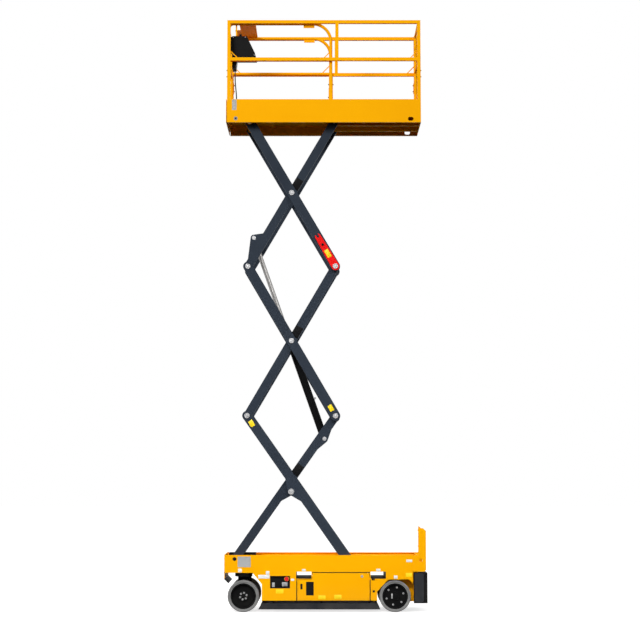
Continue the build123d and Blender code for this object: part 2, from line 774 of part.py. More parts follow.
# Lowest inner arm pair, with the cylinder foot bracket
low_run_other = heading(pin_b2, pin_t1l)
with BuildPart() as arm_low_inner:
    both(bar(pin_b1, pin_t1r, inner_depth), low_inner_y, low_inner_y + arm_width)
    middle = ((pin_b1[0] + pin_t1r[0]) / 2, (pin_b1[1] + pin_t1r[1]) / 2)
    elbow = [pin_c1, shift(middle, -bend_reach, low_run), shift(middle, bend_reach, low_run)]
    both(web(elbow, [boss_radius, 30, 30]), low_inner_y, low_inner_y + arm_width)
    foot_ends = [shift(foot_seat, reach, low_run) for reach in (-foot_bracket_reach, foot_bracket_reach)]
    both(web([pin_foot, *foot_ends], [42, 40, 40]), low_inner_y, low_inner_y + arm_width)
    bores([pin_b1], 20 + running_gap, low_inner_y)
    bores([pin_c1], 24 + running_gap, low_inner_y)
    bores([pin_t1r], pin_bore, low_inner_y)
    bores([pin_foot], cylinder_pin_radius + running_gap, low_inner_y)
arm_low_inner.part.label = "arm_low_inner"
export_step(arm_low_inner.part, "parts/arm_low_inner.step")

# Lowest outer arm pair
with BuildPart() as arm_low_outer:
    both(bar(pin_b2, pin_t1l, outer_depth), low_outer_y, low_outer_y + arm_width)
    middle = ((pin_b2[0] + pin_t1l[0]) / 2, (pin_b2[1] + pin_t1l[1]) / 2)
    elbow = [pin_c1, shift(middle, -bend_reach, low_run_other), shift(middle, bend_reach, low_run_other)]
    both(web(elbow, [boss_radius, 36, 36]), low_outer_y, low_outer_y + arm_width)
    bores([pin_c1], 24 + running_gap, low_outer_y)
    bores([pin_t1l], pin_bore, low_outer_y)
    bores([pin_b2], 16 + running_gap, low_outer_y)
arm_low_outer.part.label = "arm_low_outer"
export_step(arm_low_outer.part, "parts/arm_low_outer.step")

# Middle outer arm pair
with BuildPart() as arm_mid_outer:
    both(bar(pin_t1r, pin_t2l, outer_depth), upper_outer_y, upper_outer_y + arm_width)
    bores([pin_t1r, pin_c2, pin_t2l], pin_bore, upper_outer_y)
arm_mid_outer.part.label = "arm_mid_outer"
export_step(arm_mid_outer.part, "parts/arm_mid_outer.step")

# Middle inner arm pair
with BuildPart() as arm_mid_inner:
    both(bar(pin_t1l, pin_t2r, inner_depth), upper_inner_y, upper_inner_y + arm_width)
    bores([pin_t1l, pin_c2, pin_t2r], pin_bore, upper_inner_y)
arm_mid_inner.part.label = "arm_mid_inner"
export_step(arm_mid_inner.part, "parts/arm_mid_inner.step")

# Top inner arm pair, with the cylinder eye bracket and ends trimmed to clear the folded platform
roller_end_trim = 20
with BuildPart() as arm_top_inner:
    both(bar(pin_t2l, shift(pin_t3r, -roller_end_trim, raise_angle), inner_depth),
         upper_inner_y, upper_inner_y + arm_width)
    eye_ends = [shift(eye_seat, reach, raise_angle) for reach in (-eye_bracket_tail, eye_bracket_nose)]
    both(web([pin_eye, *eye_ends], [40, 46, 30]), upper_inner_y, upper_inner_y + arm_width)
    bores([pin_t2l, pin_c3], pin_bore, upper_inner_y)
    bores([pin_t3r], 16 + running_gap, upper_inner_y)
    bores([pin_eye], cylinder_pin_radius + running_gap, upper_inner_y)
arm_top_inner.part.label = "arm_top_inner"
export_step(arm_top_inner.part, "parts/arm_top_inner.step")

# Top outer arm pair
with BuildPart() as arm_top_outer:
    both(bar(pin_t2r, pin_t3l, outer_depth), upper_outer_y, upper_outer_y + arm_width)
    bores([pin_t2r, pin_c3, pin_t3l], pin_bore, upper_outer_y)
arm_top_outer.part.label = "arm_top_outer"
export_step(arm_top_outer.part, "parts/arm_top_outer.step")

# Pins carried by the lowest outer arms: centre shaft and roller feet
with BuildPart() as low_outer_pins:
    both(disc(pin_c1, 24), 0, low_outer_y + arm_width)
    both(disc(pin_c1, 36), low_outer_y + arm_width, low_outer_y + arm_width + 6)
    both(disc(pin_c1, 34), low_outer_y - 10, low_outer_y)
    both(disc(pin_b2, 16), low_outer_y, low_outer_y + arm_width)
    both(disc(pin_b2, 26), low_outer_y + arm_width, channel_inner_y)
    both(disc(pin_b2, roller_radius), channel_inner_y, channel_web_y - 2)
low_outer_pins.part.label = "low_outer_pins"
export_step(low_outer_pins.part, "parts/low_outer_pins.step")

outer_face_y = upper_outer_y + arm_width
prop_gap = 5
prop_thickness = 12
prop_inner_y = outer_face_y + prop_gap
prop_outer_y = prop_inner_y + prop_thickness

# Pins carried by the lowest inner arms: upper shaft and cylinder foot pin
with BuildPart() as low_inner_pins:
    both(disc(pin_t1r, pin_radius), 0, outer_face_y + 0.5)
    both(disc(pin_t1r, head_radius), outer_face_y + 0.5, outer_face_y + 5.5)
    both(disc(pin_t1r, head_radius), low_inner_y - 6, low_inner_y)
    both(disc(pin_foot, cylinder_pin_radius), 0, low_inner_y + arm_width)
    both(disc(pin_foot, 34), low_inner_y - 6, low_inner_y)
low_inner_pins.part.label = "low_inner_pins"
export_step(low_inner_pins.part, "parts/low_inner_pins.step")

# Pins carried by the middle outer arms: centre stubs and upper shaft
with BuildPart() as mid_outer_pins:
    both(disc(pin_c2, pin_radius), upper_inner_y - 0.5, outer_face_y)
    both(disc(pin_c2, head_radius), outer_face_y, outer_face_y + 5.5)
    both(disc(pin_c2, 30), upper_inner_y - 3.5, upper_inner_y - 0.5)
    both(disc(pin_t2l, pin_radius - 2), 0, upper_inner_y - 3)
    both(disc(pin_t2l, pin_radius), upper_inner_y - 3, outer_face_y)
    both(disc(pin_t2l, head_radius), outer_face_y, outer_face_y + 5.5)
mid_outer_pins.part.label = "mid_outer_pins"
export_step(mid_outer_pins.part, "parts/mid_outer_pins.step")

# Pins carried by the middle inner arms: lower stubs and upper shaft, longer where it carries the prop
with BuildPart() as mid_inner_pins:
    both(disc(pin_t1l, pin_radius), upper_inner_y - 2.4, low_outer_y + arm_width + 0.5)
    both(disc(pin_t1l, 30), upper_inner_y - 2.4, upper_inner_y)
    both(disc(pin_t1l, head_radius), low_outer_y + arm_width + 0.5, low_outer_y + arm_width + 6)
    across(disc(pin_t2r, pin_radius), -prop_outer_y - 0.5, outer_face_y + 0.5)
    across(disc(pin_t2r, head_radius), outer_face_y + 0.5, outer_face_y + 5.5)
    across(disc(pin_t2r, head_radius), -prop_outer_y - 5.5, -prop_outer_y - 0.5)
    both(disc(pin_t2r, head_radius), upper_inner_y - 6, upper_inner_y)
mid_inner_pins.part.label = "mid_inner_pins"
export_step(mid_inner_pins.part, "parts/mid_inner_pins.step")

# Pins carried by the top inner arms: centre stubs, roller axle and cylinder eye stubs
top_roller_y = 146
top_roller_end_y = 176
eye_half_width = 38
eye_side_gap = 6
with BuildPart() as top_inner_pins:
    both(disc(pin_c3, pin_radius), upper_inner_y - 6, outer_face_y + 0.5)
    both(disc(pin_c3, head_radius), outer_face_y + 0.5, outer_face_y + 5.5)
    both(disc(pin_c3, head_radius), upper_inner_y - 6, upper_inner_y)
    both(disc(pin_t3r, 16), top_roller_y, upper_inner_y + arm_width)
    both(disc(pin_t3r, roller_radius), top_roller_y, top_roller_end_y)
    both(disc(pin_t3r, 26), top_roller_end_y, upper_inner_y)
    both(disc(pin_eye, cylinder_pin_radius), eye_half_width + eye_side_gap, upper_inner_y + arm_width)
    both(disc(pin_eye, 36), eye_half_width + eye_side_gap, eye_half_width + eye_side_gap + 14)
    both(disc(pin_eye, 36), upper_inner_y - 8, upper_inner_y)
top_inner_pins.part.label = "top_inner_pins"
export_step(top_inner_pins.part, "parts/top_inner_pins.step")

# Pins carried by the top outer arms: platform shaft
bracket_outer_y = 269
bracket_inner_y = 211
bracket_plate = 10
with BuildPart() as top_outer_pins:
    both(disc(pin_t3l, pin_radius), 0, bracket_outer_y + bracket_plate + 0.5)
    both(disc(pin_t3l, 30), outer_face_y, bracket_outer_y - 1)
    both(disc(pin_t3l, 30), bracket_outer_y + bracket_plate + 0.5, bracket_outer_y + bracket_plate + 6)
top_outer_pins.part.label = "top_outer_pins"
export_step(top_outer_pins.part, "parts/top_outer_pins.step")

# Lift cylinder barrel with a bored gland
barrel_start = shift(pin_foot, 30, cylinder_angle)
barrel_end = shift(pin_foot, barrel_length, cylinder_angle)
bore_start = shift(pin_foot, 70, cylinder_angle)
gland_start = shift(pin_foot, barrel_length - 60, cylinder_angle)
with BuildPart() as lift_barrel:
    rod((barrel_start[0], 0, barrel_start[1]), (barrel_end[0], 0, barrel_end[1]), barrel_radius)
    across(disc(pin_foot, 42), -45, 45)
    rod((bore_start[0], 0, bore_start[1]), (gland_start[0], 0, gland_start[1]), rod_radius + 8, Mode.SUBTRACT)
    rod((gland_start[0], 0, gland_start[1]), (barrel_end[0], 0, barrel_end[1]), rod_radius + 0.3,
        Mode.SUBTRACT)
    across(disc(pin_foot, cylinder_pin_radius + running_gap), -46, 46, Mode.SUBTRACT)
lift_barrel.part.label = "lift_barrel"
export_step(lift_barrel.part, "parts/lift_barrel.step")

# Lift cylinder rod, its eye opened at the pin
rod_start = shift(pin_foot, barrel_length - 80, cylinder_angle)
with BuildPart() as lift_rod:
    rod((rod_start[0], 0, rod_start[1]), (pin_eye[0], 0, pin_eye[1]), rod_radius)
    across(disc(pin_eye, 36), -eye_half_width, eye_half_width)
lift_rod.part.label = "lift_rod"
export_step(lift_rod.part, "parts/lift_rod.step")

# Maintenance prop hung on the rear upper pin, tapering to a forked end
prop_length = 430
prop_boss_radius = 50
prop_shoulder = 150
prop_shoulder_radius = 46
prop_tip_radius = 37
fork_width = 30
with BuildPart() as maintenance_prop:
    prop_tip = shift(pin_t2r, prop_length, left_angle)
    blade = web([pin_t2r, shift(pin_t2r, prop_shoulder, left_angle), prop_tip],
                [prop_boss_radius, prop_shoulder_radius, prop_tip_radius])
    across(blade, -prop_outer_y, -prop_inner_y)
    mouth = bar(prop_tip, shift(prop_tip, 2 * prop_tip_radius, left_angle), fork_width)
    across(mouth, -prop_outer_y - 1, -prop_inner_y + 1, Mode.SUBTRACT)
    across(disc(pin_t2r, pin_bore), -prop_outer_y - 1, -prop_inner_y + 1, Mode.SUBTRACT)
maintenance_prop.part.label = "maintenance_prop"
export_step(maintenance_prop.part, "parts/maintenance_prop.step")

# Platform deck: floor, toe boards, pivot ears and inboard roller tracks
skirt_y = half_width - plate
toe_lip = 20
foot_lip = 30
fold = 5
rib_width = 50
rib_depth = 18
track_inner_y = 138
track_open_y = 178
track_front_x = pin_t3r[0] - 92
track_rear_x = platform_rear_x - plate
runner_inner_y = 320
runner_outer_y = 350
runner_sink = 1
extension_rear_end = 100
outlet_front_x = -1164
outlet_rear_x = -1108
outlet_low_z = floor_top_z + 24
slot_x = 1067
slot_z = skirt_low_z + 44
slot_height = 48
slot_reach = 11
with BuildPart() as platform_deck:
    block(platform_front_x, platform_rear_x, -skirt_y, skirt_y, floor_low_z, floor_top_z)
    skirt = rect(platform_front_x, platform_rear_x, skirt_low_z, skirt_top_z)
    both(skirt, skirt_y, half_width)
    lip = rect(platform_front_x, platform_rear_x, skirt_top_z - fold, skirt_top_z)
    both(lip, skirt_y - toe_lip, skirt_y)
    foot = rect(platform_front_x, platform_rear_x, skirt_low_z, skirt_low_z + fold)
    both(foot, skirt_y - foot_lip, skirt_y)
    block(platform_rear_x - plate, platform_rear_x, -skirt_y, skirt_y, skirt_low_z, skirt_top_z)
    block(platform_front_x, platform_front_x + plate, -skirt_y, skirt_y, skirt_low_z + 40, floor_low_z)
    for rib_x in (-700, -300, 100, 500, 900):
        block(rib_x, rib_x + rib_width, -skirt_y, skirt_y, floor_low_z - rib_depth, floor_low_z)
    ear_feet = [(pin_t3l[0] - 70, floor_low_z - 6), (pin_t3l[0] + 70, floor_low_z - 6)]
    ear = web([pin_t3l, *ear_feet], [boss_radius, 10, 10])
    both(ear, bracket_outer_y, bracket_outer_y + bracket_plate)
    both(ear, bracket_inner_y, bracket_inner_y + bracket_plate)
    both(disc(pin_t3l, pin_bore), bracket_inner_y - 1, bracket_outer_y + bracket_plate + 1, Mode.SUBTRACT)
    track = rect(track_front_x, track_rear_x, pin_t3r[1] - channel_half - plate, floor_low_z)
    both(track, track_inner_y, track_open_y)
    groove = rect(track_front_x - 1, track_rear_x - 1, pin_t3r[1] - channel_half, pin_t3r[1] + channel_half)
    both(groove, track_inner_y + plate, track_open_y + 1, Mode.SUBTRACT)
    relief_low_z = pin_t3r[1] + channel_half + plate
    relief = rect(track_front_x - 1, track_rear_x - 1, relief_low_z, floor_low_z - rib_depth)
    both(relief, track_inner_y + plate, track_open_y + 1, Mode.SUBTRACT)
    groove_floor_z = floor_top_z - runner_sink
    runner_groove = rect(platform_front_x - 1, extension_rear_end + 1, groove_floor_z, floor_top_z + 1)
    both(runner_groove, runner_inner_y - 1, runner_outer_y + 1, Mode.SUBTRACT)
    slot = bar((slot_x - slot_reach, slot_z), (slot_x + slot_reach, slot_z), slot_height)
    both(slot, skirt_y - 1, half_width + 1, Mode.SUBTRACT)
    window = rect(outlet_front_x, outlet_rear_x, outlet_low_z, skirt_top_z - fold)
    across(window, -half_width - 1, -skirt_y, Mode.SUBTRACT)
platform_deck.part.label = "platform_deck"
export_step(platform_deck.part, "parts/platform_deck.step")

# Platform guard rails of square tube, standing on the toe board lips
post_front_x = platform_front_x
post_rear_x = platform_rear_x - rail_size
rail_inner_y = half_width - rail_size
mid_post_x = 127
sleeve_low_z = floor_top_z + 424
sleeve_top_z = floor_top_z + 557
sleeve_wall = 6
gate_post_y = half_width - 105
gusset_reach = 90
gusset_radius = 6
rail_low_z = rail_top_z - rail_size
mid_rail_low_z = mid_rail_top_z - rail_size
gate_low_z = floor_top_z + 254
gate_top_z = rail_top_z - 29
gate_mid_z = mid_rail_top_z - rail_size / 2
gate_pin_heights = (gate_low_z + 60, gate_top_z - 150)
gate_pin_radius = 6
gate_pin_length = 40
gate_hinge_y = gate_post_y - 14
gate_hinge_x = post_rear_x + 14
with BuildPart() as platform_rails:
    for side in (-1, 1):
        low_y = min(side * rail_inner_y, side * half_width)
        high_y = low_y + rail_size
        block(post_front_x, platform_rear_x, low_y, high_y, rail_low_z, rail_top_z)
        block(post_front_x, platform_rear_x, low_y, high_y, mid_rail_low_z, mid_rail_top_z)
        for post_x in (post_front_x, post_rear_x):
            block(post_x, post_x + rail_size, low_y, high_y, skirt_top_z, rail_top_z)
        block(mid_post_x, mid_post_x + rail_size, low_y, high_y, mid_rail_low_z, rail_top_z)
        gate_low_y = min(side * gate_post_y, side * (gate_post_y + rail_size))
        block(post_rear_x, platform_rear_x, gate_low_y, gate_low_y + rail_size, skirt_top_z, rail_top_z)
        tie_low_y = min(side * gate_post_y, side * half_width)
        tie_high_y = max(side * gate_post_y, side * half_width)
        block(post_rear_x, platform_rear_x, tie_low_y, tie_high_y, rail_low_z, rail_top_z)
        block(post_rear_x, platform_rear_x, tie_low_y, tie_high_y, mid_rail_low_z, mid_rail_top_z)
    for sleeve_x in (post_front_x, post_rear_x - sleeve_wall):
        for sleeve_y in (-half_width, rail_inner_y - sleeve_wall):
            block(sleeve_x, sleeve_x + rail_size + sleeve_wall, sleeve_y, sleeve_y + rail_size + sleeve_wall,
                  sleeve_low_z, sleeve_top_z)
    for gusset_y in (-half_width + rail_size / 2, half_width - rail_size / 2):
        rod((post_front_x + rail_size - 4, gusset_y, mid_rail_top_z + gusset_reach),
            (post_front_x + rail_size + gusset_reach, gusset_y, mid_rail_top_z - 4), gusset_radius)
        rod((post_rear_x + 4, gusset_y, mid_rail_top_z + gusset_reach),
            (post_rear_x - gusset_reach, gusset_y, mid_rail_top_z - 4), gusset_radius)
    for pin_z in gate_pin_heights:
        block(gate_hinge_x - 12, gate_hinge_x + 12, gate_hinge_y - 10, gate_post_y, pin_z - 6, pin_z)
        rod((gate_hinge_x, gate_hinge_y, pin_z), (gate_hinge_x, gate_hinge_y, pin_z + gate_pin_length),
            gate_pin_radius)
platform_rails.part.label = "platform_rails"
export_step(platform_rails.part, "parts/platform_rails.step")

# Entry gate swinging on two pins of the right rear post
gate_tube = 14
gate_end_y = -gate_post_y + 20
with BuildPart() as entry_gate:
    for gate_y in (gate_hinge_y, gate_end_y):
        rod((gate_hinge_x, gate_y, gate_low_z), (gate_hinge_x, gate_y, gate_top_z), gate_tube)
    for gate_z in (gate_low_z, gate_mid_z, gate_top_z):
        rod((gate_hinge_x, gate_end_y, gate_z), (gate_hinge_x, gate_hinge_y, gate_z), gate_tube)
    for gate_y in (gate_end_y, gate_hinge_y):
        for gate_z in (gate_low_z, gate_top_z):
            with Locations((gate_hinge_x, gate_y, gate_z)):
                Sphere(gate_tube)
    for pin_z in gate_pin_heights:
        block(gate_hinge_x - 20, gate_hinge_x + 20, gate_hinge_y - 20, gate_hinge_y + 15,
              pin_z - 12, pin_z + seat_gap, Mode.SUBTRACT)
        rod((gate_hinge_x, gate_hinge_y, pin_z), (gate_hinge_x, gate_hinge_y, pin_z + gate_pin_length + 2),
            gate_pin_radius + running_gap, Mode.SUBTRACT)
entry_gate.part.label = "entry_gate"
export_step(entry_gate.part, "parts/entry_gate.step")

# Control cable route, from the gland under the control box to the grommet in the extension floor
cable_radius = 7
cable_points = [
    (-1135, -277, extension_floor_z + 537),
    (-1135, -277, extension_floor_z + 447),
    (-1128, -285, extension_floor_z + 342),
    (-1116, -295, extension_floor_z + 237),
    (-1112, -303, extension_floor_z + 132),
    (-1125, -309, extension_floor_z + 47),
    (-1125, -309, extension_floor_z - plate),
]

# Extension deck sliding over the main floor, bored for its guard rail posts and the cable
toe_inner_y = half_width - 22
toe_drop = 18
front_post_x = extension_front_x + 28
extension_low_z = extension_floor_z - plate
with BuildPart() as extension_deck:
    block(extension_front_x + plate, extension_rear_end, -toe_inner_y - plate, toe_inner_y + plate,
          extension_low_z, extension_floor_z)
    block(extension_front_x, extension_front_x + plate, -skirt_y, skirt_y, skirt_low_z + 6, skirt_top_z)
    toe = rect(extension_front_x + plate, extension_rear_end, extension_floor_z, skirt_top_z - toe_drop)
    both(toe, toe_inner_y, toe_inner_y + plate)
    runner_low_z = floor_top_z - runner_sink + seat_gap
    runner = rect(platform_front_x + 28, extension_rear_end, runner_low_z, extension_low_z)
    both(runner, runner_inner_y, runner_outer_y)
    for post_x in (front_post_x, extension_rear_x):
        for post_y in (-extension_rail_y, extension_rail_y):
            rod((post_x, post_y, extension_low_z), (post_x, post_y, extension_floor_z + 1),
                extension_rail_radius + seat_gap, Mode.SUBTRACT)
    grommet = (cable_points[-1][0], cable_points[-1][1])
    rod((*grommet, extension_low_z - 1), (*grommet, extension_floor_z + 1), cable_radius + seat_gap,
        Mode.SUBTRACT)
extension_deck.part.label = "extension_deck"
export_step(extension_deck.part, "parts/extension_deck.step")

# Extension guard rails of bent round tube, with a work tray across the front
bend_rear = 230
bend_front = 60
mid_tube_z = gate_mid_z
mid_tube_radius = 17
tray_front_edge = extension_front_x + 90
tray_rear_edge = extension_front_x + 363
tray_cut = 67
hand_plate_x = -272
hand_plate_length = 137
hand_plate_depth = 34
half_turn = 1 - cos(radians(45))
post_sleeve_radius = 25
post_sleeve_low_z = extension_floor_z + 20
post_sleeve_top_z = floor_top_z + 480


def tube_along(path, radius):
    # Round tube swept along a bent wire
    with BuildSketch(Plane(origin=path @ 0, z_dir=path % 0)) as face:
        Circle(radius)
    sweep(face.sketch, path=path)


with BuildPart() as extension_rails:
    for rail_y in (-extension_rail_y, extension_rail_y):
        with BuildLine(mode=Mode.PRIVATE) as bent_path:
            Line((extension_rear_x, rail_y, extension_low_z),
                 (extension_rear_x, rail_y, extension_top_z - bend_rear))
            ThreePointArc((extension_rear_x, rail_y, extension_top_z - bend_rear),
                          (extension_rear_x - bend_rear * half_turn, rail_y,
                           extension_top_z - bend_rear * half_turn),
                          (extension_rear_x - bend_rear, rail_y, extension_top_z))
            Line((extension_rear_x - bend_rear, rail_y, extension_top_z),
                 (front_post_x + bend_front, rail_y, extension_top_z))
            ThreePointArc((front_post_x + bend_front, rail_y, extension_top_z),
                          (front_post_x + bend_front * half_turn, rail_y,
                           extension_top_z - bend_front * half_turn),
                          (front_post_x, rail_y, extension_top_z - bend_front))
            bend_foot_z = extension_top_z - bend_front
            Line((front_post_x, rail_y, bend_foot_z), (front_post_x, rail_y, extension_low_z))
        tube_along(bent_path.wires()[0], extension_rail_radius)
        rod((front_post_x, rail_y, mid_tube_z), (extension_rear_x, rail_y, mid_tube_z), mid_tube_radius)
    for cross_z in (mid_tube_z - 50, extension_top_z - 90):
        rod((front_post_x, -extension_rail_y, cross_z), (front_post_x, extension_rail_y, cross_z),
            mid_tube_radius)
    for rail_y in (-extension_rail_y, extension_rail_y):
        block(hand_plate_x, hand_plate_x + hand_plate_length, rail_y - 4, rail_y + 4,
              extension_top_z - extension_rail_radius - hand_plate_depth, extension_top_z - 15)
        rod((extension_rear_x - 15, rail_y, mid_tube_z + gusset_reach + 15),
            (extension_rear_x - gusset_reach - 15, rail_y, mid_tube_z + 12), gusset_radius)
        rod((extension_rear_x, rail_y, post_sleeve_low_z), (extension_rear_x, rail_y, post_sleeve_top_z),
            post_sleeve_radius)
    tray_z = extension_top_z + extension_rail_radius - 3
    block(tray_front_edge, tray_rear_edge, -extension_rail_y, extension_rail_y, tray_z, tray_z + plate)
    block(tray_front_edge - 1, tray_front_edge + tray_cut, -extension_rail_y + 30, 10,
          tray_z - 1, tray_z + plate + 1, Mode.SUBTRACT)
extension_rails.part.label = "extension_rails"
export_step(extension_rails.part, "parts/extension_rails.step")

# Platform control box with its hanging plate and cable gland, carried by the left extension rail
box_front_x = extension_front_x + 68
box_rear_x = box_front_x + 308
box_outer_y = -extension_rail_y + extension_rail_radius
hang_plate = 4
box_width = 170
box_low_z = extension_top_z - 565
box_shelf_z = extension_top_z - 448
box_top_z = extension_top_z - 150
gland_radius = 12
hanger_x = box_front_x + 45
hanger_width = 18
stick_x = box_front_x + 100
stick_y = box_outer_y + 90
boot_height = 28
stick_reach = 48
stick_radius = 12
with BuildPart() as control_box:
    block(hanger_x, hanger_x + hanger_width, box_outer_y, box_outer_y + hang_plate,
          mid_tube_z, extension_top_z)
    body = panel([
        (box_front_x, box_low_z), (box_front_x + 50, box_low_z), (box_front_x + 62, box_shelf_z),
        (box_rear_x, box_shelf_z), (box_rear_x - 22, box_shelf_z + 83), (box_rear_x - 125, box_top_z),
        (box_front_x, box_top_z),
    ])
    across(body, box_outer_y + hang_plate, box_outer_y + hang_plate + box_width)
    with Locations((stick_x, stick_y, box_top_z)):
        Cone(22, 10, boot_height, align=(Align.CENTER, Align.CENTER, Align.MIN))
    rod((stick_x, stick_y, box_top_z + boot_height - 7), (stick_x, stick_y, box_top_z + stick_reach),
        stick_radius)
    with Locations(cable_points[0]):
        Cone(cable_radius + 2, gland_radius, box_low_z - cable_points[0][2],
             align=(Align.CENTER, Align.CENTER, Align.MIN))
control_box.part.label = "control_box"
export_step(control_box.part, "parts/control_box.step")

# Outlet plate let into the left toe board
with BuildPart() as outlet_bracket:
    across(rect(outlet_front_x, outlet_rear_x, outlet_low_z, skirt_top_z - fold), -half_width, -skirt_y)
outlet_bracket.part.label = "outlet_bracket"
export_step(outlet_bracket.part, "parts/outlet_bracket.step")

# Control cable: each bend takes most of the shorter run beside it
cable_radii = []
for before, corner, after in zip(cable_points, cable_points[1:], cable_points[2:]):
    run_in = Vector(*corner) - Vector(*before)
    run_out = Vector(*after) - Vector(*corner)
    half_bend = radians(run_in.get_angle(run_out)) / 2
    cable_radii.append(0.45 * min(run_in.length, run_out.length) / tan(half_bend))
print("cable bend radii", [round(radius) for radius in cable_radii])
with BuildPart() as control_cable:
    with BuildLine() as cable_path:
        FilletPolyline(*cable_points, radius=cable_radii)
    tube_along(cable_path.wires()[0], cable_radius)
control_cable.part.label = "control_cable"
export_step(control_cable.part, "parts/control_cable.step")
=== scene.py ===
import json
import math

import bpy
import numpy as np
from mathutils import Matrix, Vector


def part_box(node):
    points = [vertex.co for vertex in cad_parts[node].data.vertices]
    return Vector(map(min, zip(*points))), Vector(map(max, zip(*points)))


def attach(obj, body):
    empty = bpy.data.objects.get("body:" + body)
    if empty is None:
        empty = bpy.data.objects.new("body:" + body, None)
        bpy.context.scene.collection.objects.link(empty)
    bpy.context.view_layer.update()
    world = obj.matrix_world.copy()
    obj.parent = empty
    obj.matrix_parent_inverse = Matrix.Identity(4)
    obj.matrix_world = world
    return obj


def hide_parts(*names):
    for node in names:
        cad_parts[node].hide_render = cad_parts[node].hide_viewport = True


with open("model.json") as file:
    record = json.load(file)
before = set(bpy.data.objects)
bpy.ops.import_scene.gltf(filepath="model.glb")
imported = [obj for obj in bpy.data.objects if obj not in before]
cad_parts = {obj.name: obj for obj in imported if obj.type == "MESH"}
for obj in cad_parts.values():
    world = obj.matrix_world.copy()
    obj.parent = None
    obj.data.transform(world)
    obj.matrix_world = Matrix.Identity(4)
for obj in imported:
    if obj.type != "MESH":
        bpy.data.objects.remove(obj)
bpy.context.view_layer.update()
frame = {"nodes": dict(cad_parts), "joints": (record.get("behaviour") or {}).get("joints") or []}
print("frame loaded:", len(frame["nodes"]), "nodes")

scene = bpy.context.scene
scene.view_settings.view_transform = "Standard"

# places of the scissor pins, read from the joints: x and z in the side plane
jointPlace = {j["name"]: np.array(j["pos_m"]) for j in frame["joints"] if "pos_m" in j}
basePin = jointPlace["lift"]
lowCross = jointPlace["low_cross"]
lowTopRear = jointPlace["mid_outer_hinge"]
midCross = jointPlace["mid_cross"]
midTopFront = jointPlace["top_inner_hinge"]
topCross = jointPlace["top_cross"]
deckPin = jointPlace["platform_hinge"]
lowTopFront = np.array([2 * midCross[0] - lowTopRear[0], 0, lowTopRear[2]])
midTopRear = np.array([2 * midCross[0] - midTopFront[0], 0, midTopFront[2]])

left = np.array([0.0, -1.0, 0.0])
right = np.array([0.0, 1.0, 0.0])
alongX = np.array([1.0, 0.0, 0.0])
upZ = np.array([0.0, 0.0, 1.0])
sides = {"left": left, "right": right}


# Camera

cameraView = {"place": (-0.0655, -20.0, 1.575), "pitch": 5.766, "focalPixels": 1598.4, "imagePixels": 640,
              "sensor": 36, "reach": 300}
cameraData = bpy.data.cameras.new("photoCamera")
cameraData.sensor_width = cameraView["sensor"]
cameraData.lens = cameraView["sensor"] * cameraView["focalPixels"] / cameraView["imagePixels"]
cameraData.clip_end = cameraView["reach"]
cameraObject = bpy.data.objects.new("photoCamera", cameraData)
cameraObject.location = cameraView["place"]
cameraObject.rotation_euler = (math.radians(90 + cameraView["pitch"]), 0, 0)
scene.collection.objects.link(cameraObject)
scene.camera = cameraObject
print("camera set")


# Shader building blocks

nodeSpacing = 220


def setInputs(tree, node, values):
    # each input takes a plain value, or a link from another node's output
    for key, value in values.items():
        if isinstance(value, bpy.types.NodeSocket):
            tree.links.new(value, node.inputs[key])
        else:
            node.inputs[key].default_value = value


def addNode(tree, kind, values=None, **settings):
    # one node to the right of the last, with its settings and then its inputs
    node = tree.nodes.new(kind)
    node.location = (nodeSpacing * len(tree.nodes), 0)
    for key, value in settings.items():
        setattr(node, key, value)
    setInputs(tree, node, values or {})
    return node


def maths(tree, operation, first, second, clamp=False):
    # one sum on two numbers, kept between 0 and 1 if clamped
    node = addNode(tree, "ShaderNodeMath", {0: first, 1: second}, operation=operation, use_clamp=clamp)
    return node.outputs[0]


def ranged(tree, source, low, high, start=0.0, end=1.0):
    # straight line from start at low to end at high, held level past both
    return addNode(tree, "ShaderNodeMapRange", {0: source, 1: low, 2: high, 3: start, 4: end}).outputs[0]


def spreadNoise(tree, noise, start, end):
    # noise from about 0.3 to 0.7, stretched to a range
    return ranged(tree, noise, 0.3, 0.7, start, end)


def objectPlace(tree):
    # place of the shaded point in the object's own metres
    return addNode(tree, "ShaderNodeTexCoord").outputs["Object"]


def upward(tree, vector):
    # z part of a vector
    return addNode(tree, "ShaderNodeSeparateXYZ", {0: vector}).outputs["Z"]


def bumpNormal(tree, height, strength, depth):
    # normal tilted by the slope of a height
    bump = addNode(tree, "ShaderNodeBump", {"Strength": strength, "Distance": depth, "Height": height})
    return bump.outputs[0]


def mixColours(tree, factor, first, second):
    # straight colour mix: first where the factor is 0, second where it is 1
    first, second = ((*value, 1) if isinstance(value, tuple) else value for value in (first, second))
    return addNode(tree, "ShaderNodeMix", {0: factor, 6: first, 7: second}, data_type="RGBA").outputs[2]


def newGroup(name, inputs, outputs):
    # node group with number sockets, and the outputs of its input node
    group = bpy.data.node_groups.new(name, "ShaderNodeTree")
    for label, start in inputs.items():
        socket = group.interface.new_socket(label, in_out="INPUT", socket_type="NodeSocketFloat")
        socket.default_value = start
    for label in outputs:
        group.interface.new_socket(label, in_out="OUTPUT", socket_type="NodeSocketFloat")
    return group, addNode(group, "NodeGroupInput").outputs


def useGroup(tree, group, values):
    # outputs of one use of a shared effect
    return addNode(tree, "ShaderNodeGroup", values, node_tree=group).outputs


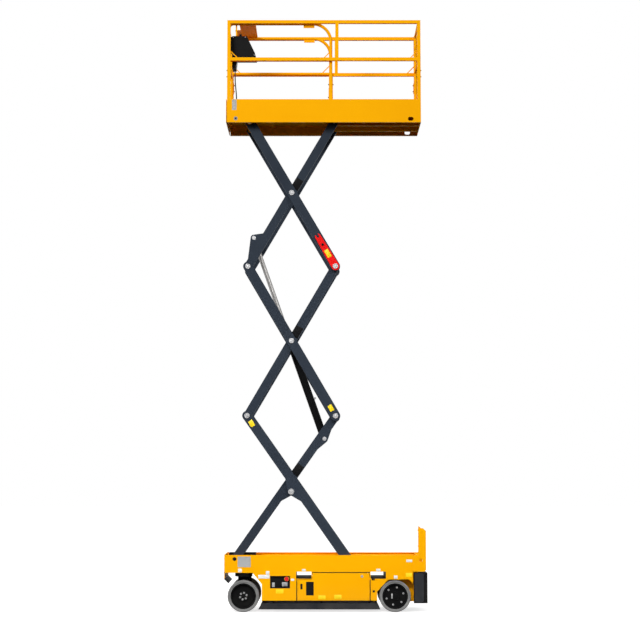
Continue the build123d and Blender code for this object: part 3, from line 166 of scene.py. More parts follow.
def buildEdgeWear():
    # dot product of true and rounded normal, low on sharp edges, turned to wear and broken up by noise
    group, given = newGroup("edgeWear", {"Radius": 0.004, "Scale": 30.0}, ["Wear"])
    rounded = addNode(group, "ShaderNodeBevel", {"Radius": given["Radius"]}, samples=4).outputs[0]
    normal = addNode(group, "ShaderNodeNewGeometry").outputs["Normal"]
    dot = addNode(group, "ShaderNodeVectorMath", {0: rounded, 1: normal}, operation="DOT_PRODUCT")
    edge = ranged(group, dot.outputs["Value"], 0.98, 0.75)
    noise = addNode(group, "ShaderNodeTexNoise", {"Vector": objectPlace(group), "Scale": given["Scale"],
                                                  "Detail": 6.0, "Roughness": 0.65})
    chips = ranged(group, noise.outputs[0], 0.48, 0.66)
    addNode(group, "NodeGroupOutput", {"Wear": maths(group, "MULTIPLY", edge, chips, clamp=True)})
    return group


def buildDustFilm():
    # dust gathers on faces that look up and near the ground, in soft clouds
    group, given = newGroup("dustFilm", {"Amount": 0.3, "Reach": 0.5}, ["Dust"])
    normal = addNode(group, "ShaderNodeNewGeometry").outputs["Normal"]
    place = objectPlace(group)
    facing = ranged(group, upward(group, normal), 0.3, 1.0)
    low = ranged(group, upward(group, place), given["Reach"], 0.0)
    noise = addNode(group, "ShaderNodeTexNoise", {"Vector": place, "Scale": 5.0,
                                                  "Detail": 8.0, "Roughness": 0.6})
    clouds = ranged(group, noise.outputs[0], 0.35, 0.75)
    veil = maths(group, "MULTIPLY", maths(group, "MAXIMUM", facing, low), clouds)
    addNode(group, "NodeGroupOutput", {"Dust": maths(group, "MULTIPLY", veil, given["Amount"], clamp=True)})
    return group


def buildSurfaceGrain():
    # broad shade drift, roughness drift and fine peel height, from three scales of noise
    group, given = newGroup("surfaceGrain", {"Broad": 3.0, "Fine": 400.0}, ["Shade", "Gloss", "Peel"])
    place = objectPlace(group)
    scales = {"Shade": (given["Broad"], 4.0), "Gloss": (40.0, 5.0), "Peel": (given["Fine"], 2.0)}
    noises = {label: addNode(group, "ShaderNodeTexNoise", {"Vector": place, "Scale": scale, "Detail": detail})
              for label, (scale, detail) in scales.items()}
    addNode(group, "NodeGroupOutput", {label: noise.outputs[0] for label, noise in noises.items()})
    return group


edgeWear = buildEdgeWear()
dustFilm = buildDustFilm()
surfaceGrain = buildSurfaceGrain()


# Finishes

paintDepth = 0.0006
mouldDepth = 0.001
metalDepth = 0.0004
coatCommon = {"edge": 0.004, "chips": 20.0, "dustReach": 0.6}
studs = {"scale": 28.0, "edge": (0.32, 0.22), "strength": 0.9, "depth": 0.002}
deckBolt = {"place": (-1.118, -0.405, 6.083), "head": 0.025, "socket": 0.011}
film = {"broad": 25.0, "fine": 300.0, "mottle": 0.35, "darker": 0.8, "smooth": 0.3, "rough": 0.45,
        "shine": 0.25, "peel": 0.05, "depth": 0.0003}


def startMaterial(name, broad, fine):
    # material with a Principled shader, its tree and the grain that its looks start from
    material = bpy.data.materials.new(name)
    material.use_nodes = True
    tree = material.node_tree
    grain = useGroup(tree, surfaceGrain, {"Broad": broad, "Fine": fine})
    return material, tree, tree.nodes["Principled BSDF"], grain


def coatFinish(name, look, depth=paintDepth):
    # paint or moulded skin: a little drift in shade, worn edges, dust on top and a fine grain in its gloss
    look = {**coatCommon, **look}
    material, tree, shader, grain = startMaterial(name, look["broad"], look["fine"])
    wear = useGroup(tree, edgeWear, {"Radius": look["edge"], "Scale": look["chips"]})
    dust = useGroup(tree, dustFilm, {"Amount": look["dust"], "Reach": look["dustReach"]})
    base = mixColours(tree, spreadNoise(tree, grain["Shade"], 0.0, 1.0), look["colour"], look["shade"])
    worn = mixColours(tree, wear["Wear"], base, look["bare"])
    setInputs(tree, shader, {
        "Base Color": mixColours(tree, dust["Dust"], worn, look["dustColour"]),
        "Roughness": spreadNoise(tree, grain["Gloss"], look["smooth"], look["rough"]),
        "Specular IOR Level": look["shine"],
        "Normal": bumpNormal(tree, grain["Peel"], look["peel"], depth),
    })
    return material


def metalFinish(name, look):
    # bright metal with cloudy plating and fine turned scratches
    material, tree, shader, grain = startMaterial(name, look["broad"], look["fine"])
    cloud = spreadNoise(tree, grain["Gloss"], 0.0, 1.0)
    setInputs(tree, shader, {
        "Base Color": mixColours(tree, cloud, look["colour"], look["shade"]),
        "Roughness": spreadNoise(tree, grain["Shade"], look["smooth"], look["rough"]),
        "Metallic": 1.0,
        "Normal": bumpNormal(tree, grain["Peel"], look["peel"], metalDepth),
    })
    return material


def labelFinish(name, colour):
    # printed film: even colour, faint mottling, soft gloss
    material, tree, shader, grain = startMaterial(name, film["broad"], film["fine"])
    darker = tuple(film["darker"] * part for part in colour)
    mottle = spreadNoise(tree, grain["Shade"], 0.0, film["mottle"])
    setInputs(tree, shader, {
        "Base Color": mixColours(tree, mottle, colour, darker),
        "Roughness": spreadNoise(tree, grain["Gloss"], film["smooth"], film["rough"]),
        "Specular IOR Level": film["shine"],
        "Normal": bumpNormal(tree, grain["Peel"], film["peel"], film["depth"]),
    })
    return material


def layColour(tree, mask, colour):
    # colour laid over what the shader has, where the mask is 1
    baseColour = tree.nodes["Principled BSDF"].inputs["Base Color"]
    tree.links.new(mixColours(tree, mask, baseColour.links[0].from_socket, colour), baseColour)


def paintPast(material, test, height, colour):
    # second colour past a height: a hard step on the Object coordinate z, laid over the first
    tree = material.node_tree
    layColour(tree, maths(tree, test, upward(tree, objectPlace(tree)), height), colour)


def deckFinish(name, floorLow, floorHigh):
    # the yellow paint, with raised round studs on the faces between two heights
    material = coatFinish(name, yellowLook)
    tree = material.node_tree
    place = objectPlace(tree)
    height = upward(tree, place)
    cells = addNode(tree, "ShaderNodeTexVoronoi", voronoi_dimensions="2D",
                    values={"Vector": place, "Scale": studs["scale"], "Randomness": 0.0})
    raised = ranged(tree, cells.outputs["Distance"], *studs["edge"])
    onFloor = maths(tree, "MULTIPLY", maths(tree, "GREATER_THAN", height, floorLow),
                    maths(tree, "LESS_THAN", height, floorHigh))
    studNormal = bumpNormal(tree, maths(tree, "MULTIPLY", raised, onFloor), studs["strength"], studs["depth"])
    peelBump = tree.nodes["Principled BSDF"].inputs["Normal"].links[0].from_node
    setInputs(tree, peelBump, {"Normal": studNormal})
    return material


def paintBolt(material, bolt):
    # a flush bolt: grey within its head's radius, and black within its socket's as painted shade of the
    # recessed socket
    tree = material.node_tree
    away = addNode(tree, "ShaderNodeVectorMath", operation="DISTANCE",
                   values={0: objectPlace(tree), 1: bolt["place"]})
    for radius, look in ((bolt["head"], dullZincLook), (bolt["socket"], blackLook)):
        layColour(tree, maths(tree, "LESS_THAN", away.outputs["Value"], radius), look["colour"])


yellowLook = {
    "colour": (1.0, 0.455, 0.001), "shade": (0.96, 0.42, 0.001), "bare": (0.85, 0.50, 0.14),
    "dustColour": (0.74, 0.50, 0.20), "broad": 1.6, "fine": 500.0, "chips": 35.0,
    "dust": 0.08, "dustReach": 0.35, "smooth": 0.40, "rough": 0.55, "shine": 0.02, "peel": 0.04,
}
armLook = {
    "colour": (0.034, 0.044, 0.060), "shade": (0.027, 0.035, 0.049), "bare": (0.075, 0.085, 0.10),
    "dustColour": (0.17, 0.16, 0.15), "broad": 2.2, "fine": 450.0, "chips": 40.0,
    "dust": 0.08, "smooth": 0.42, "rough": 0.56, "shine": 0.03, "peel": 0.05,
}
blackLook = {
    "colour": (0.004, 0.004, 0.0045), "shade": (0.007, 0.007, 0.0075), "bare": (0.08, 0.08, 0.08),
    "dustColour": (0.13, 0.12, 0.10), "broad": 4.0, "fine": 450.0, "edge": 0.003, "chips": 50.0,
    "dust": 0.06, "dustReach": 0.5, "smooth": 0.40, "rough": 0.58, "shine": 0.02, "peel": 0.06,
}
slateLook = {
    "colour": (0.025, 0.027, 0.031), "shade": (0.019, 0.021, 0.025), "bare": (0.13, 0.13, 0.14),
    "dustColour": (0.2, 0.18, 0.16), "broad": 3.0, "fine": 420.0, "chips": 35.0,
    "dust": 0.2, "dustReach": 0.4, "smooth": 0.38, "rough": 0.56, "shine": 0.1, "peel": 0.06,
}
guardLook = {
    "colour": (0.019, 0.020, 0.024), "shade": (0.027, 0.028, 0.032), "bare": (0.18, 0.18, 0.18),
    "dustColour": (0.2, 0.18, 0.15), "broad": 3.0, "fine": 400.0, "chips": 30.0,
    "dust": 0.2, "dustReach": 0.3, "smooth": 0.42, "rough": 0.62, "shine": 0.06, "peel": 0.08,
}
redLook = {
    "colour": (0.90, 0.012, 0.010), "shade": (0.82, 0.009, 0.008), "bare": (0.8, 0.12, 0.1),
    "dustColour": (0.5, 0.2, 0.16), "broad": 6.0, "fine": 500.0, "edge": 0.003, "chips": 50.0,
    "dust": 0.02, "dustReach": 0.3, "smooth": 0.3, "rough": 0.42, "shine": 0.05, "peel": 0.04,
}
batteryLook = {
    "colour": (0.04, 0.04, 0.042), "shade": (0.07, 0.07, 0.072), "bare": (0.2, 0.2, 0.2),
    "dustColour": (0.2, 0.18, 0.15), "broad": 5.0, "fine": 300.0, "edge": 0.003, "chips": 30.0,
    "dust": 0.5, "smooth": 0.45, "rough": 0.65, "shine": 0.2, "peel": 0.1,
}
zincLook = {
    "colour": (0.40, 0.40, 0.405), "shade": (0.28, 0.28, 0.285), "broad": 30.0, "fine": 900.0,
    "smooth": 0.28, "rough": 0.45, "peel": 0.08,
}
dullZincLook = {
    "colour": (0.30, 0.30, 0.30), "shade": (0.20, 0.20, 0.20), "broad": 24.0, "fine": 700.0,
    "smooth": 0.42, "rough": 0.6, "peel": 0.12,
}
chromeLook = {
    "colour": (0.31, 0.30, 0.29), "shade": (0.24, 0.235, 0.23), "broad": 8.0, "fine": 700.0,
    "smooth": 0.34, "rough": 0.44, "peel": 0.01,
}
plasticLook = {
    "colour": (0.005, 0.005, 0.0055), "shade": (0.009, 0.009, 0.0095), "bare": (0.03, 0.03, 0.03),
    "dustColour": (0.08, 0.075, 0.07), "broad": 4.0, "fine": 900.0, "dust": 0.12,
    "smooth": 0.44, "rough": 0.62, "shine": 0.05, "peel": 0.25,
}
redPlasticLook = {
    "colour": (0.78, 0.010, 0.010), "shade": (0.66, 0.008, 0.008), "bare": (0.85, 0.1, 0.08),
    "dustColour": (0.5, 0.2, 0.18), "broad": 8.0, "fine": 900.0, "edge": 0.002, "dust": 0.05,
    "smooth": 0.25, "rough": 0.38, "shine": 0.3, "peel": 0.08,
}
tyreLook = {
    "colour": (0.215, 0.215, 0.213), "shade": (0.165, 0.165, 0.163), "bare": (0.40, 0.40, 0.39),
    "dustColour": (0.32, 0.30, 0.27), "broad": 9.0, "fine": 350.0, "edge": 0.005, "dust": 0.3,
    "smooth": 0.6, "rough": 0.82, "shine": 0.2, "peel": 0.35,
}
cableLook = {
    "colour": (0.009, 0.009, 0.009), "shade": (0.015, 0.015, 0.015), "bare": (0.04, 0.04, 0.04),
    "dustColour": (0.09, 0.09, 0.08), "broad": 12.0, "fine": 700.0, "edge": 0.002, "dust": 0.12,
    "smooth": 0.45, "rough": 0.62, "shine": 0.16, "peel": 0.15,
}

yellowPaint = coatFinish("yellowPaint", yellowLook)
armPaint = coatFinish("armPaint", armLook)
blackPaint = coatFinish("blackPaint", blackLook)
guardPaint = coatFinish("guardPaint", guardLook)
redPaint = coatFinish("redPaint", redLook)
slatePaint = coatFinish("slatePaint", slateLook)
batteryShell = coatFinish("batteryShell", batteryLook)
zincPlate = metalFinish("zincPlate", zincLook)
dullZinc = metalFinish("dullZinc", dullZincLook)
rodChrome = metalFinish("rodChrome", chromeLook)
blackPlastic = coatFinish("blackPlastic", plasticLook, mouldDepth)
redPlastic = coatFinish("redPlastic", redPlasticLook, mouldDepth)
tyreRubber = coatFinish("tyreRubber", tyreLook, mouldDepth)
cableJacket = coatFinish("cableJacket", cableLook, mouldDepth)
yellowLabel = labelFinish("yellowLabel", (1.0, 0.72, 0.01))
whiteLabel = labelFinish("whiteLabel", (0.82, 0.82, 0.8))
greyLabel = labelFinish("greyLabel", (0.42, 0.43, 0.44))

# paint lines: the guard lugs are black, the bumper's lip is painted black as painted shade of its inner face,
# the console's hanger is yellow
paintLine = {"lugs": 0.139, "lip": 0.402, "hanger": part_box("control_box")[1][2] - 0.1495}
sidePaint = coatFinish("sidePaint", yellowLook)
paintPast(sidePaint, "LESS_THAN", paintLine["lugs"], blackLook["colour"])
bumperPaintAndLipShade = coatFinish("bumperPaintAndLipShade", yellowLook)
# bumper lip below its line painted black: painted shade
paintPast(bumperPaintAndLipShade, "LESS_THAN", paintLine["lip"], blackLook["colour"])
consolePlastic = coatFinish("consolePlastic", plasticLook, mouldDepth)
paintPast(consolePlastic, "GREATER_THAN", paintLine["hanger"], yellowLook["colour"])
mainDeckPaint = deckFinish("mainDeckPaint", floorLow=6.1655, floorHigh=6.1675)
# flush deck bolt whose black socket is painted shade
paintBolt(mainDeckPaint, deckBolt)
extensionPaint = deckFinish("extensionPaint", floorLow=6.1775, floorHigh=6.1795)
print("finishes made:", len(bpy.data.materials))


def named(word):
    # names of the CAD nodes that hold a word
    return [nodeName for nodeName in frame["nodes"] if word in nodeName]


finishOf = {
    yellowPaint: ["scissor_deck", "battery_tray", "roller_channels", "entry_ladder", "tie_down_lugs",
                  "platform_rails", "entry_gate", "extension_rails"] + named("tray_door_"),
    sidePaint: named("chassis_side_"),
    bumperPaintAndLipShade: ["front_bumper"],
    mainDeckPaint: ["platform_deck"],
    extensionPaint: ["extension_deck"],
    armPaint: named("arm_"),
    zincPlate: named("_pin"),
    dullZinc: ["outlet_bracket"],
    # the fork tunnels take the black paint as painted shade inside the fork pockets
    blackPaint: ["fork_tunnels", "valve_block", "tie_rod", "rear_axle_stubs", "lift_barrel"]
                + named("steer_knuckle_") + named("rim_"),
    guardPaint: named("pothole_guard_"),
    blackPlastic: ["rear_step", "ground_panel"],
    consolePlastic: ["control_box"],
    redPaint: ["maintenance_prop"],
    redPlastic: ["stop_button"],
    tyreRubber: named("tyre_"),
    rodChrome: ["lift_rod"],
    batteryShell: ["battery_pack", "hydraulic_unit"],
    cableJacket: ["control_cable"],
}
for finish, nodeNames in finishOf.items():
    for nodeName in nodeNames:
        node = frame["nodes"][nodeName]
        if len(node.material_slots) == 0:
            node.data.materials.append(finish)
        for materialSlot in node.material_slots:
            materialSlot.material = finish
print("finishes on the CAD nodes")


# Surfaces

def shellFromRings(rings):
    # rings of points joined row to row, the first and last ring closed flat
    rows, cols = rings.shape[:2]
    r, c = np.meshgrid(np.arange(rows - 1), np.arange(cols), indexing="ij")
    nextC = (c + 1) % cols
    quads = np.stack([r * cols + c, r * cols + nextC, (r + 1) * cols + nextC, (r + 1) * cols + c], axis=-1)
    ring = np.arange(cols)
    caps = [ring[::-1].tolist(), (ring + (rows - 1) * cols).tolist()]
    return rings.reshape(-1, 3), quads.reshape(-1, 4).tolist() + caps


def hoopFromRings(rings):
    # rings of points joined row to row and the last row to the first: a closed hoop
    rows, cols = rings.shape[:2]
    r, c = np.meshgrid(np.arange(rows), np.arange(cols), indexing="ij")
    nextR, nextC = (r + 1) % rows, (c + 1) % cols
    quads = np.stack([r * cols + c, r * cols + nextC, nextR * cols + nextC, nextR * cols + c], axis=-1)
    return rings.reshape(-1, 3), quads.reshape(-1, 4).tolist()


def turnedRings(profile, centre, axis, steps):
    # profile of (radius, height): centre + height along the axis + radius round it
    profile = np.asarray(profile, float)
    helper = alongX if abs(axis[2]) > 0.9 else upZ
    first = np.cross(helper, axis)
    first = first / np.linalg.norm(first)
    second = np.cross(axis, first)
    turn = np.linspace(0, 2 * math.pi, steps, endpoint=False)
    spoke = np.cos(turn)[:, None] * first + np.sin(turn)[:, None] * second
    return centre + profile[:, None, 1:2] * axis + profile[:, None, 0:1] * spoke[None]


def turned(profile, centre, axis, steps):
    # turned solid: profile rows carried round an axis and capped
    return shellFromRings(turnedRings(profile, centre, axis, steps))


def roundedOutline(width, height, radius, cornerSteps=5):
    # rectangle whose corners are quarter circles, in order round it
    radius = min(radius, width / 2, height / 2)
    quarter = np.linspace(0, math.pi / 2, cornerSteps)
    corners = np.array([[1, 1], [-1, 1], [-1, -1], [1, -1]]) * (np.array([width, height]) / 2 - radius)
    starts = np.arange(4) * math.pi / 2
    angles = starts[:, None] + quarter[None]
    points = corners[:, None] + radius * np.stack([np.cos(angles), np.sin(angles)], axis=-1)
    return points.reshape(-1, 2)


def plate(centre, acrossDir, upDir, outline, rows):
    # outline drawn on two directions; each row (inset, height) draws it in and lifts it off the face
    lift = np.cross(acrossDir, upDir)
    reach = np.abs(outline).max(axis=0)
    rows = np.asarray(rows, float)
    scale = (reach[None] - rows[:, 0:1]) / reach[None]
    drawn = outline[None] * scale[:, None]
    flat = centre + drawn[..., 0:1] * acrossDir + drawn[..., 1:2] * upDir
    return shellFromRings(flat + rows[:, None, 1:2] * lift)


def sidePoint(x, z, y):
    # place in space of a side-plane point
    return np.array([x, y, z])


def boxPlate(limits, faceY, radius, rows):
    # rounded plate on a left or right face, between limits: low and high x, low and high z
    lowX, highX, lowZ, highZ = limits
    centre = sidePoint((lowX + highX) / 2, (lowZ + highZ) / 2, faceY)
    outline = roundedOutline(highX - lowX, highZ - lowZ, radius)
    return plate(centre, alongX if faceY < 0 else -alongX, upZ, outline, rows)


def makePiece(name, shells, finish, body, sharpAngle=35, bevel=0.0):
    # shells stacked into one mesh, faces renumbered, smooth apart from edges sharper than an angle
    starts = np.cumsum([0] + [len(points) for points, faces in shells])
    verts = np.concatenate([points for points, faces in shells])
    faces = [[index + start for index in face] for start, shell in zip(starts, shells) for face in shell[1]]
    mesh = bpy.data.meshes.new(name)
    mesh.from_pydata(verts.tolist(), [], faces)
    mesh.validate()
    mesh.polygons.foreach_set("use_smooth", np.ones(len(mesh.polygons), dtype=bool))
    mesh.set_sharp_from_angle(angle=math.radians(sharpAngle))
    mesh.materials.append(finish)
    piece = bpy.data.objects.new(name, mesh)
    scene.collection.objects.link(piece)
    if bevel > 0:
        rounder = piece.modifiers.new("rounded", "BEVEL")
        rounder.width = bevel
        rounder.segments = 2
        rounder.limit_method = "ANGLE"
    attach(piece, body)
    return piece


# sides of a bolt head, and how far out the chassis sides and the doors reach
hexagon = 6
sideFace = 0.399


# Control cable

cable = {
    "route": [(-1.135, -0.277, 6.715), (-1.135, -0.277, 6.625), (-1.128, -0.285, 6.520),
              (-1.116, -0.295, 6.415), (-1.112, -0.303, 6.310), (-1.125, -0.309, 6.225),
              (-1.125, -0.309, 6.172)],
    "diameter": 0.014, "length": 0.545,
}
cableCurve = bpy.data.curves.new("controlCable", "CURVE")
cableCurve.dimensions = "3D"
cableLine = cableCurve.splines.new("NURBS")
cableLine.points.add(len(cable["route"]) - 1)
cableLine.points.foreach_set("co", np.column_stack([cable["route"], np.ones(len(cable["route"]))]).ravel())
cableLine.order_u = 3
cableLine.use_endpoint_u = True
cableLine.resolution_u = 8
cableCurve.bevel_depth = cable["diameter"] / 2
cableCurve.bevel_resolution = 4
cableCurve.use_fill_caps = True
cableCurve.materials.append(cableJacket)
cablePiece = bpy.data.objects.new("controlCable", cableCurve)
scene.collection.objects.link(cablePiece)
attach(cablePiece, "extension")
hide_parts("control_cable")
print("control cable hung")


# Scissor pin caps: a bevelled keeper ring and a hexagon screw on every pin head

pinCap = {
    "ring": [(0.0325, 0.0), (0.0325, 0.002), (0.0305, 0.004), (0.0215, 0.004), (0.0205, 0.0025),
             (0.0203, 0.0025)],
    "screw": [(0.0135, 0.0015), (0.0135, 0.0046), (0.0120, 0.0052), (0.0060, 0.0052)],
    "nipple": [(0.0042, 0.0048), (0.0042, 0.0055), (0.0030, 0.0058), (0.0020, 0.0058)],
    "outer": (0.2705, 0.2705), "prop": (0.2875, 0.2705), "low": (0.323, 0.323), "deck": (0.285, 0.285),
}
pinHeads = {
    "low_inner": [(lowTopRear, pinCap["outer"])],
    "mid_outer": [(midCross, pinCap["outer"]), (midTopFront, pinCap["outer"])],
    "mid_inner": [(lowTopFront, pinCap["low"]), (midTopRear, pinCap["prop"])],
    "top_inner": [(topCross, pinCap["outer"])],
    "low_outer": [(lowCross, pinCap["low"])],
    "top_outer": [(deckPin, pinCap["deck"])],
}
for body, heads in pinHeads.items():
    shells = []
    for pin, faces in heads:
        for axis, face in zip((left, right), faces):
            place = sidePoint(pin[0], pin[2], face * axis[1])
            shells.append(turned(pinCap["ring"], place, axis, steps=40))
            shells.append(turned(pinCap["screw"], place, axis, hexagon))
            shells.append(turned(pinCap["nipple"], place, axis, steps=12))
    makePiece("pinCaps_" + body, shells, zincPlate, body, bevel=0.0006)
print("pin caps set")


# Tyres: solid bands with rounded shoulders, a sidewall step and a mould line round the tread

tyre = {"radius": 0.1905, "seat": 0.1545, "wall": (0.168, 0.170), "inner": 0.273, "outer": 0.400,
        "shoulder": 0.009, "step": 0.0016,
        "seam": [(0.0008, -0.002), (0.0001, -0.001), (0.0001, 0.001), (0.0008, 0.002)]}
wheels = {"front_left": (-0.995, left), "front_right": (-0.995, right),
          "rear_left": (0.845, left), "rear_right": (0.845, right)}


def tyreProfile():
    # seat, sidewalls stepped in below quarter-round shoulders, flat tread with a fine raised seam
    bend = np.linspace(0, math.pi / 2, 6)
    shoulder, top, step = tyre["shoulder"], tyre["radius"], tyre["step"]
    inner, outer = tyre["inner"], tyre["outer"]
    lowWall, highWall = tyre["wall"]
    rise, run = shoulder * np.sin(bend), shoulder * np.cos(bend)
    nearShoulder = np.column_stack([top - shoulder + rise, inner + shoulder - run])
    farShoulder = np.column_stack([top - shoulder + run, outer - shoulder + rise])
    seam = [(top - drop, (inner + outer) / 2 + aside) for drop, aside in tyre["seam"]]
    nearWall = [(tyre["seat"], inner + step), (lowWall, inner + step), (highWall, inner)]
    farWall = [(highWall, outer), (lowWall, outer - step), (tyre["seat"], outer - step)]
    return np.concatenate([nearWall, nearShoulder, seam, farShoulder, farWall])


for corner, (axleX, axis) in wheels.items():
    rings = turnedRings(tyreProfile(), sidePoint(axleX, tyre["radius"], 0), axis, steps=96)
    body = "wheel_" + corner
    piece = makePiece("tyre_" + body, [hoopFromRings(rings)], tyreRubber, body, sharpAngle=50)
    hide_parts("tyre_" + corner)

# hub bolts: hexagon nuts on washers, with a boss and a dust cap in the middle
hub = {
    "front": {"circle": 0.040, "face": 0.378, "boss": 0.024, "cap": 0.378},
    "rear": {"circle": 0.1065, "face": 0.358, "boss": 0.030, "cap": 0.370},
    "washer": [(0.0125, 0.0), (0.0125, 0.0022), (0.0110, 0.0030)],
    "nut": [(0.0100, 0.0025), (0.0100, 0.0100), (0.0085, 0.0115), (0.0055, 0.0115)],
    "count": 6, "turn": 0.3,
}
for corner, (axleX, axis) in wheels.items():
    body = "wheel_" + corner
    end = hub["front" if "front" in corner else "rear"]
    shells = []
    for angle in np.arange(hub["count"]) * 2 * math.pi / hub["count"] + hub["turn"]:
        across, rise = end["circle"] * math.cos(angle), end["circle"] * math.sin(angle)
        place = sidePoint(axleX + across, tyre["radius"] + rise, end["face"] * axis[1])
        shells.append(turned(hub["washer"], place, axis, steps=20))
        shells.append(turned(hub["nut"], place, axis, hexagon))
    makePiece("hubNuts_" + body, shells, dullZinc, body, bevel=0.0004)
    boss = end["boss"]
    capProfile = [(boss, 0.0), (boss, 0.006), (boss - 0.003, 0.009), (boss * 0.6, 0.0105),
                  (boss * 0.2, 0.011)]
    cap = turned(capProfile, sidePoint(axleX, tyre["radius"], end["cap"] * axis[1]), axis, steps=40)
    makePiece("hubCap_" + body, [cap], blackPaint, body)
hubTag = {"limits": (0.7985, 0.8165, 0.161, 0.221), "face": -0.3715, "radius": 0.004,
          "rows": [(0, 0), (0, 0.0010), (0.0005, 0.0014)]}
tagShell = boxPlate(hubTag["limits"], hubTag["face"], hubTag["radius"], hubTag["rows"])
makePiece("hubTag", [tagShell], dullZinc, "wheel_rear_left")
print("wheels dressed")


# Blank stickers and plates on the left side

filmRows = [(0.0, 0.0), (0.0, 0.0004), (0.0003, 0.0006)]
filmRadius = 0.004
stickers = {
    "whiteChassis": {
        "body": "chassis", "finish": whiteLabel,
        "limits": [(-1.060, -1.014, 0.476, 0.521), (-0.722, -0.680, 0.449, 0.493),
                   (-0.815, -0.676, 0.402, 0.447), (-0.419, -0.379, 0.374, 0.401),
                   (-0.285, -0.239, 0.489, 0.517), (0.617, 0.667, 0.489, 0.520),
                   (0.831, 0.875, 0.400, 0.440), (0.982, 1.054, 0.600, 0.631)],
    },
    "yellowChassis": {
        "body": "chassis", "finish": yellowLabel,
        "limits": [(0.974, 1.054, 0.422, 0.471), (-0.601, -0.508, 0.224, 0.275)],
    },
    "yellowDoor": {
        "body": "door_left", "finish": yellowLabel,
        "limits": [(-0.086, 0.002, 0.156, 0.201), (0.107, 0.195, 0.160, 0.208)],
    },
}
for name, sheet in stickers.items():
    shells = [boxPlate(limits, -sideFace, filmRadius, filmRows) for limits in sheet["limits"]]
    makePiece("stickers_" + name, shells, sheet["finish"], sheet["body"])

dataPlate = {
    "limits": (-1.065, -0.907, 0.540, 0.667), "radius": 0.006,
    "rows": [(0, 0), (0, 0.001), (0.0006, 0.0015), (0.005, 0.0015), (0.006, 0.0012)],
    "rivet": [(0.0032, 0.001), (0.00256, 0.0026), (0.00096, 0.0032)],
    "rivetPlaces": [(-1.057, 0.548), (-1.057, 0.659), (-0.915, 0.548), (-0.915, 0.659)],
}
plateShells = [boxPlate(dataPlate["limits"], -sideFace, dataPlate["radius"], dataPlate["rows"])]
plateShells += [turned(dataPlate["rivet"], sidePoint(*place, -sideFace), left, steps=12)
                for place in dataPlate["rivetPlaces"]]
makePiece("blankDataPlate", plateShells, greyLabel, "chassis")
print("blank labels laid")


# Tray doors: paddle latch, louvred vent and a round lock on each, with black strips round each door as
# painted shade of its edge gap

latch = {
    "limits": (-0.304, -0.277, 0.272, 0.341), "radius": 0.006,
    "bezel": [(0, 0), (0, 0.0014), (0.0008, 0.002), (0.004, 0.002), (0.0045, 0.0004)],
    "paddleLimits": (-0.298, -0.283, 0.278, 0.321), "paddleRadius": 0.004,
    "paddle": [(0, 0), (0, 0.0016), (0.0012, 0.0026), (0.004, 0.003)],
}
vent = {
    "limits": (-0.234, -0.142, 0.201, 0.364), "radius": 0.004,
    "frame": [(0, 0), (0, 0.0012), (0.0008, 0.0018), (0.005, 0.0018), (0.0055, 0.0006)],
    "slats": 9, "border": 0.007, "below": 0.002, "above": 0.005, "slatRadius": 0.002,
    "slat": [(0, 0.0004), (0, 0.0016), (0.0008, 0.0034), (0.0016, 0.0038)],
}
gapShade = {"width": 0.007, "gap": 0.005, "barrel": 0.001, "notch": (-0.160, 0.392), "radius": 0.002,
        "rows": [(0, 0), (0, 0.0006), (0.0008, 0.0012)]}
lock = {"place": (0.444, 0.429),
        "body": [(0.0150, 0.0), (0.0150, 0.0022), (0.0135, 0.0034), (0.0085, 0.0034), (0.0080, 0.0020),
                 (0.0040, 0.0020)]}


def slatLimits():
    # equal shares of the vent's height inside its border, each with a gap below and above
    lowX, highX, lowZ, highZ = vent["limits"]
    border = vent["border"]
    pitch = (highZ - lowZ - 2 * border) / vent["slats"]
    starts = [lowZ + border + index * pitch for index in range(vent["slats"])]
    return [(lowX + border, highX - border, start + vent["below"], start + pitch - vent["above"])
            for start in starts]


def gapShadeLimits(doorBox):
    # painted-shade strips on the panel, a gap off the door: top from the notch, front, bottom, and rear past
    # the hinge
    width, gap = gapShade["width"], gapShade["gap"]
    notchX, notchZ = gapShade["notch"]
    frontX, lowZ = doorBox[0][0] - gap, doorBox[0][2] - gap
    rearX, topZ = doorBox[1][0] + gapShade["barrel"], doorBox[1][2] + gap
    return [(notchX, doorBox[1][0], topZ, topZ + width), (frontX - width, frontX, lowZ, notchZ),
            (frontX - width, rearX + width, lowZ - width, lowZ), (rearX, rearX + width, lowZ, notchZ)]


for sideName, axis in sides.items():
    body = "door_" + sideName
    faceY = sideFace * axis[1]
    shells = [boxPlate(latch["limits"], faceY, latch["radius"], latch["bezel"]),
              boxPlate(latch["paddleLimits"], faceY, latch["paddleRadius"], latch["paddle"]),
              boxPlate(vent["limits"], faceY, vent["radius"], vent["frame"])]
    shells += [boxPlate(limits, faceY, vent["slatRadius"], vent["slat"]) for limits in slatLimits()]
    makePiece("latchAndVent_" + body, shells, blackPlastic, body)
    # black strips round the door: painted shade of the gap at its edge
    gapShadeShells = [boxPlate(limits, faceY, gapShade["radius"], gapShade["rows"])
                  for limits in gapShadeLimits(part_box("tray_" + body))]
    makePiece("doorGapShade_" + body, gapShadeShells, blackPlastic, "chassis")
    lockShell = turned(lock["body"], sidePoint(*lock["place"], faceY), axis, steps=32)
    makePiece("lock_" + body, [lockShell], zincPlate, body)
print("doors dressed")


# Ground controls: key switch, toggle boots, stop head with its collar, blank legends

